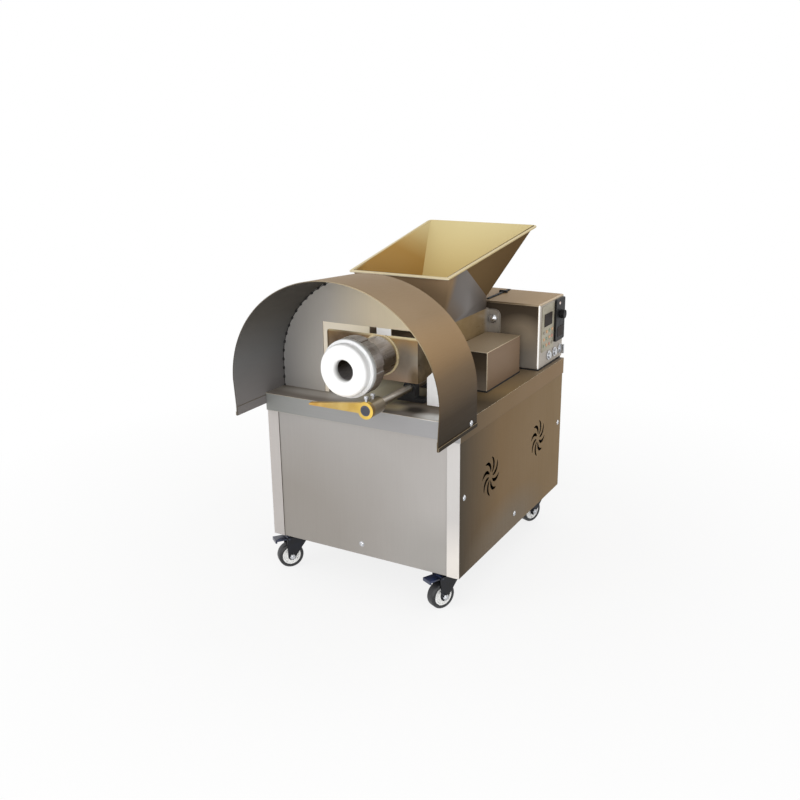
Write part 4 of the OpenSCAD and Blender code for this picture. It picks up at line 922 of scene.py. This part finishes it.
def makeSeam():
    shape = bmesh.new()
    angles = [math.pi * step / seam["dotSteps"] for step in range(1, seam["dotSteps"])]
    bead = [(seam["dotWide"] * math.sin(angle), -seam["dotLong"] * math.cos(angle)) for angle in angles]
    reach, thin = seam["step"] / 2, seam["lineWide"]
    profile = [(0, -reach), (thin, -reach), (thin, -seam["dotLong"])] + bead
    profile += [(thin, seam["dotLong"]), (thin, reach), (0, reach)]
    turn(shape, profile, seam["sides"])
    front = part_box("guard_back_plate")[0].y
    line = archLine(-seam["inset"], 0, 1)[1:-1]
    path = plainMesh("seamPath", [(x, front, deckHigh.z + z) for x, z in line],
                     [(i, i + 1) for i in range(len(line) - 1)])
    dot = template("dotTemplate", shape, seam["smooth"])
    dress(grow("seam_dots", pathTree, path, dot, "seamBlack", Step=seam["step"]), "dark_steel")


makeSeam()
print("guard dressed")

# feed: chamber, ring nut, bolts, tube, nozzle and auger
softPiece("chamber", "feed_chamber", "cast", "polished_steel", "chamberMetal")
softPiece("nut", "ring_nut", "cast", "nut_steel", "nutMetal")
softPiece("flange_bolts", "chamber_bolts", "rod", "bright_metal", "chrome")

tube = {"bore": 0.042, "wall": 0.002, "collar": 0.0475, "collarThick": 0.004, "round": 0.0015, "sides": 96}


def makeTube():
    low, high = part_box("barrel_tube")
    long, out, soft = high.y - low.y, tube["bore"] + tube["wall"], tube["round"]
    step = long - tube["collarThick"]
    profile = [(tube["bore"], 0), (out, 0), (out, step)]
    profile += [(tube["collar"] - soft + soft * wide, step + soft * rise) for wide, rise in quarter(4)]
    profile += [(tube["collar"], long), (tube["bore"], long)]
    shape = bmesh.new()
    turn(shape, profile, tube["sides"], (augerAxis.x, low.y, augerAxis.z), (0, 1, 0), closed=True)
    dress(wear(pieceFrom("tube", shape), "tubeMetal"), "polished_steel", "barrel_tube")


makeTube()

nozzle = {"mouth": 0.023, "flare": 0.008, "flareDeep": 0.009, "nose": 0.057, "round": 0.008, "step": 0.021,
          "stepRound": 0.002, "bore": 0.042, "land": 0.019, "sides": 96, "smooth": 50, "rings": 4200.0,
          "shadeDeep": 0.012, "shadeOut": (0.022, 0.034), "stepSoft": 0.001, "flangeOut": (0.050, 0.058)}


def makeNozzle():
    low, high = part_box("outlet_nozzle")
    full, long = (high.x - low.x) / 2, high.y - low.y
    soft, step = nozzle["stepRound"], nozzle["step"]
    mouth, flare, deep = nozzle["mouth"], nozzle["flare"], nozzle["flareDeep"]
    nose, bend = nozzle["nose"], nozzle["round"]
    profile = [(mouth + flare * rise, deep * (1 - out)) for out, rise in quarter()]
    profile += [(nose - bend + bend * out, bend * rise) for out, rise in quarter()]
    profile += [(nose, step)]
    profile += [(full - soft + soft * out, step + soft * rise) for out, rise in quarter(4)]
    profile += [(full, long - soft), (full - soft, long), (nozzle["bore"], long), (mouth, nozzle["land"])]
    shape = bmesh.new()
    turn(shape, profile, nozzle["sides"], (augerAxis.x, low.y, augerAxis.z), (0, 1, 0), closed=True)
    finishes["nylon"] = nylonFinish("nylon", nozzle, low.y)
    dress(wear(pieceFrom("nozzle", shape, nozzle["smooth"]), "nylon"), "white_nylon", "outlet_nozzle")


makeNozzle()

auger = {"core": 0.015, "pitch": 0.062, "thick": 0.009, "sides": 48, "stepsPerTurn": 24, "blend": 0.25,
         "smooth": 40}


def makeAuger():
    low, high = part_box("auger_screw")
    core, sides, blend = auger["core"], auger["sides"], auger["blend"]
    tip = (high.x - low.x) / 2
    half = math.pi * auger["thick"] / auger["pitch"]
    length = high.y - low.y
    count = math.ceil(length / auger["pitch"] * auger["stepsPerTurn"])
    shape = bmesh.new()
    rings = []
    for step in range(count + 1):
        forward = length * step / count
        twist = -2 * math.pi * forward / auger["pitch"]
        ring = []
        for side in range(sides):
            angle = 2 * math.pi * (side + 0.5) / sides
            away = min(angle, 2 * math.pi - angle)
            share = min(max((half * (1 + blend) - away) / (half * 2 * blend), 0), 1)
            radius = core + (tip - core) * share
            across, above = math.cos(angle + twist), math.sin(angle + twist)
            place = (augerAxis.x + radius * across, high.y - forward, augerAxis.z + radius * above)
            ring.append(shape.verts.new(place))
        rings.append(ring)
    joinLoops(shape, rings)
    shape.faces.new(rings[0])
    shape.faces.new(rings[-1])
    piece = wear(pieceFrom("auger_flight", shape, auger["smooth"]), "augerMetal")
    dress(piece, "polished_steel", "auger_screw", body="auger")


makeAuger()
softPiece("auger_rod", "auger_shaft", "rod", "bright_metal", "shaftMetal", body="auger")

# hopper: folded walls, and a rolled lip on the tilted rim
hopper = {"wall": 0.002, "lip": 0.008, "lipThick": 0.004, "lipGrip": 0.0024, "tightest": 0.003,
          "fold": 0.18, "bend": 0.004, "bendSteps": 4, "sharp": 14, "smooth": 30,
          "neckLeft": -0.079, "neckRight": 0.107, "neckFront": 0.190, "neckBack": 0.436,
          "low": 0.150, "neckRise": 0.031, "rimFront": 0.182, "rimBack": 0.637,
          "halfFront": 0.130, "halfBack": 0.158, "riseFront": 0.265, "riseBack": 0.335,
          "corners": (0.006, 0.006, 0.016, 0.016)}


def hopperWalls(sizes):
    inset = sizes["lip"]
    slope = (sizes["riseBack"] - sizes["riseFront"]) / (sizes["rimBack"] - sizes["rimFront"])
    front, back = sizes["rimFront"] + inset, sizes["rimBack"] - inset
    halfFront, halfBack = sizes["halfFront"] - inset, sizes["halfBack"] - inset
    foldY = front + sizes["fold"] * (back - front)
    halfFold = halfFront + sizes["fold"] * (halfBack - halfFront)

    def rim(across, along):
        return spot(across, along, sizes["riseFront"] + (along - sizes["rimFront"]) * slope)

    def neck(side, along, above):
        return spot(sizes[side], sizes[along], above)

    low, high = sizes["low"], sizes["low"] + sizes["neckRise"]
    points = [neck("neckLeft", "neckFront", low), neck("neckRight", "neckFront", low),
              neck("neckRight", "neckBack", low), neck("neckLeft", "neckBack", low),
              neck("neckRight", "neckBack", high), neck("neckLeft", "neckBack", high),
              rim(-halfFront, front), rim(halfFront, front), rim(halfBack, back), rim(-halfBack, back),
              rim(halfFold, foldY), rim(-halfFold, foldY)]
    lowFaces = [(0, 6, 7, 1), (2, 4, 5, 3), (1, 4, 2), (1, 10, 4), (1, 7, 10), (0, 3, 5), (0, 5, 11),
                (0, 11, 6)]
    highFaces = [(4, 8, 9, 5), (4, 10, 8), (5, 9, 11)]
    shape = bmesh.new()
    corners = [shape.verts.new(point) for point in points]
    # low faces take the pale steel and high faces the brown one: painted reflection and painted shade on one
    # steel
    for face in lowFaces + highFaces:
        made = shape.faces.new([corners[i] for i in reversed(face)])
        made.material_index = 2 if face in highFaces else 0
    folds = [edge for edge in shape.edges if edge.calc_face_angle(0) > math.radians(sizes["sharp"])]
    bmesh.ops.bevel(shape, geom=folds, offset=sizes["bend"], segments=sizes["bendSteps"], profile=0.5,
                    affect="EDGES", clamp_overlap=True)
    bmesh.ops.remove_doubles(shape, verts=shape.verts, dist=smallest)
    piece = wear(meshPiece("hopper_walls", shape, sizes["smooth"]), "hopperLowSteel", "hopperInnerSteel",
                 "hopperHighSteel", "hopperInnerSteel")
    skin = piece.modifiers.new("skin", "SOLIDIFY")
    skin.thickness = sizes["wall"]
    skin.offset = -1
    skin.material_offset = 1
    facing = piece.modifiers.new("facing", "WEIGHTED_NORMAL")
    facing.keep_sharp = True
    dress(piece, "hopper_steel", "hopper")


def hopperRim(sizes):
    rise, run = sizes["riseBack"] - sizes["riseFront"], sizes["rimBack"] - sizes["rimFront"]
    along = Vector((0, run, rise)).normalized()
    across = Vector((1, 0, 0))
    normal = across.cross(along)
    start = spot(0, sizes["rimFront"], sizes["riseFront"])
    long = math.hypot(rise, run)
    shape = bmesh.new()

    def loop(inset, radii, drop):
        front, back = sizes["halfFront"] - inset, sizes["halfBack"] - inset
        corners = [Vector((-front, inset)), Vector((front, inset)),
                   Vector((back, long - inset)), Vector((-back, long - inset))]
        points = [start + across * p.x + along * p.y - normal * drop for p in roundedLoop(corners, radii)]
        return [shape.verts.new(point) for point in points]

    inset = sizes["lip"] + sizes["lipGrip"]
    wide, tight = sizes["corners"], [max(r - inset / 2, sizes["tightest"]) for r in sizes["corners"]]
    thick = sizes["lipThick"]
    loops = [loop(0, wide, 0), loop(inset, tight, 0), loop(inset, tight, thick), loop(0, wide, thick)]
    joinLoops(shape, loops, closed=True)
    piece = wear(pieceFrom("hopper_rim", shape), "rimSteel")
    dress(roundEdges(piece, "deck", 3), "hopper_steel")


hopperWalls(hopper)
hopperRim(hopper)
print("feed and hopper dressed")

# knife: blade, hub, shaft, bolts, bearings and belt
softPiece("blade", "knife_blade", "blade", "yellow_blade", "bladeYellow", body="knife", segments=3)
softPiece("hub", "knife_hub", "hub", "nut_steel", "hubMetal", body="knife")
softPiece("knife_rod", "knife_shaft", "rod", "bright_metal", "shaftMetal", body="knife")
softPiece("hub_bolts", "knife_bolts", "bolt", "bright_metal", "chrome", body="knife")
softPiece("bearing_blocks", "knife_bearings", "block", "cast_black", "castBlack", segments=3)
softPiece("belt", "knife_belt", "film", "black_rubber", "sealRubber")

# covers, with black seals along their feet
softPiece("gear_case", "gear_cover", "cover", "box_steel", "coverSteel", "edgeSteel", segments=3)
softPiece("drive_case", "drive_cover", "cover", "box_steel", "boxSteel", "boxEdgeSteel", segments=3)


def makeControlCase():
    shape = bmesh.new()
    brick(shape, *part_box("control_box"))
    piece = wear(pieceFrom("control_case", shape), "boxSteel", "boxEdgeSteel")
    dress(roundEdges(piece, "control", 4, 1), "box_steel", "control_box")


makeControlCase()
softPiece("seam_seal", "seam_strip", "sheet", "black_rubber", "sealRubber")

seal = {"proud": 0.0012, "height": 0.0035, "inside": 0.002}


def makeSeals():
    shape = bmesh.new()
    gearLow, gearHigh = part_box("gear_cover")
    boxLow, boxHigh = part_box("drive_cover")[0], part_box("control_box")[1]
    out, into, foot, top = seal["proud"], seal["inside"], deckHigh.z, deckHigh.z + seal["height"]
    for low, high in ((gearLow, gearHigh), (boxLow, Vector((boxHigh.x, deckHigh.y, boxHigh.z)))):
        west, east, south, north = low.x - out, high.x + out, low.y - out, high.y
        brick(shape, (west, south, foot), (east, low.y + into, top))
        brick(shape, (west, low.y + into, foot), (low.x + into, north, top))
        brick(shape, (high.x - into, low.y + into, foot), (east, north, top))
    dress(wear(pieceFrom("cover_seals", shape), "sealRubber"), "black_rubber")


makeSeals()
print("knife and covers dressed")

# controls: keypad with keys, display, speed panel with knob, lamp and window, switches, and the gland behind
softPiece("keypad_film", "keypad", "film", "keypad_film", "silverFilm")
softPiece("display_glass", "display_window", "film", "display_glass", "displayGlass")
softPiece("speed_plate", "speed_panel", "cast", "black_plastic", "blackPlastic", segments=3)
softPiece("knob", "speed_knob", "hub", "black_plastic", "blackPlastic", body="speed_knob", segments=3)
softPiece("bezels", "switch_bezels", "hub", "bright_metal", "chrome", segments=3)
for name, node, kind in (("start_cap", "start_button", "cast"), ("stop_cap", "stop_button", "cast"),
                         ("selector_bar", "selector_switch", "hub")):
    softPiece(name, node, kind, "bright_metal", "chrome", body=node, segments=3)
softPiece("gland", "cable_gland", "sheet", "black_plastic", "blackPlastic")

keys = {"radius": 0.0040, "height": 0.0012, "shoulder": 0.6, "crown": 0.9, "sides": 24, "smooth": 50,
        "columns": (0.490, 0.509, 0.528, 0.546), "rows": (0.056, 0.073, 0.090),
        "tones": (0.0, 0.4, 0.8, 1.0, 0.4, 0.0, 0.4, 0.8, 1.0, 0.4, 0.0, 0.4)}


def makeKeys():
    shape = bmesh.new()
    radius, height = keys["radius"], keys["height"]
    turn(shape, [(radius, 0), (radius, height * keys["shoulder"]), (radius * keys["crown"], height),
                 (0, height)], keys["sides"])
    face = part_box("keypad")[1].x
    places = [spot(face, along, above) for above in keys["rows"] for along in keys["columns"]]
    key = template("keyTemplate", shape, keys["smooth"])
    rows = scatter("keypad_keys", places, [(1, 0, 0)] * len(places), key, "keyColours", keys["tones"])
    dress(rows, "keypad_film")


panel = {"lampRadius": 0.0040, "lampProud": 0.0022, "lampSpot": (0.584, 0.149), "lampSides": 24,
         "windowSize": (0.036, 0.026), "windowSpot": (0.593, 0.076), "windowProud": 0.0007, "sunk": 0.0005,
         "smooth": 60}


def makePanel():
    face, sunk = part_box("speed_panel")[1].x, panel["sunk"]
    shape = bmesh.new()
    dome = [(panel["lampRadius"] * (1 - rise), panel["lampProud"] * out) for out, rise in quarter()]
    profile = [(panel["lampRadius"], -sunk)] + dome
    turn(shape, profile, panel["lampSides"], spot(face, *panel["lampSpot"]), (1, 0, 0))
    dress(wear(pieceFrom("panel_lamp", shape, panel["smooth"]), "lampLens"), "display_glass")
    wide, tall = panel["windowSize"]
    along, above = panel["windowSpot"]
    shape = bmesh.new()
    brick(shape, spot(face - sunk, along - wide / 2, above - tall / 2),
          spot(face + panel["windowProud"], along + wide / 2, above + tall / 2))
    dress(wear(pieceFrom("panel_window", shape), "displayGlass"), "display_glass")


makeKeys()
makePanel()
print("controls dressed")

# castors, with bright axle nuts
nut = {"corner": 0.0074, "height": 0.0052, "chamfer": 0.0008, "flats": 6, "armOut": 0.0167,
       "bolt": 0.004, "boltProud": 0.0018, "boltSunk": 0.001, "boltSides": 20, "smooth": 30}


def nutTemplate(look):
    shape = bmesh.new()
    corner, height, cut, bolt = look["corner"], look["height"], look["chamfer"], look["bolt"]
    turn(shape, [(0, 0), (corner, 0), (corner, height - cut), (corner - cut, height), (0, height)],
         look["flats"])
    top = height + look["boltProud"]
    turn(shape, [(bolt, height - look["boltSunk"]), (bolt, top - cut), (bolt - cut, top), (0, top)],
         look["boltSides"])
    return template("nutTemplate", shape, look["smooth"])


def makeCastor(corner):
    fork, wheel = "castor_" + corner, "wheel_" + corner
    for name, node, slot, finish, body in (
            ("fork_", "castor_fork_", "castor_black", "castorCoat", fork),
            ("tyre_", "castor_tyre_", "castor_tread", "treadRubber", wheel),
            ("wheel_centre_", "castor_hub_", "white_hub", "hubPlastic", wheel)):
        softPiece(name + corner, node + corner, "sheet", slot, finish, body=body)
    roll = joints["wheel_roll_" + corner]
    axle = Vector(roll["axis"]).normalized()
    facings = [axle, -axle]
    places = [Vector(roll["pos_m"]) + facing * nut["armOut"] for facing in facings]
    dress(scatter("axle_nuts_" + corner, places, facings, axleNut, "chrome"), "bright_metal", body=fork)


axleNut = nutTemplate(nut)
for corner in ("fl", "fr", "rl", "rr"):
    makeCastor(corner)
for pedal in ("pedal_fl", "pedal_fr"):
    softPiece(pedal, "brake_" + pedal, "cast", "castor_black", "pedalCoat", body=pedal, segments=3)
softPiece("castor_tops", "castor_plates", "sheet", "castor_black", "castorCoat")
print("castors dressed")

# drive inside the cabinet and under the gear cover
finishNodes("oiledSteel", "floor_tray", "motor_pulley", "auger_sprocket", "drive_sprocket", "drive_chain")
finishNodes("motorPaint", "knife_motor", "gear_reducer", "drive_motor")
finishNodes("castBlack", "auger_bearing")
for piece in templates:
    bpy.data.objects.remove(piece)
print("drive dressed")
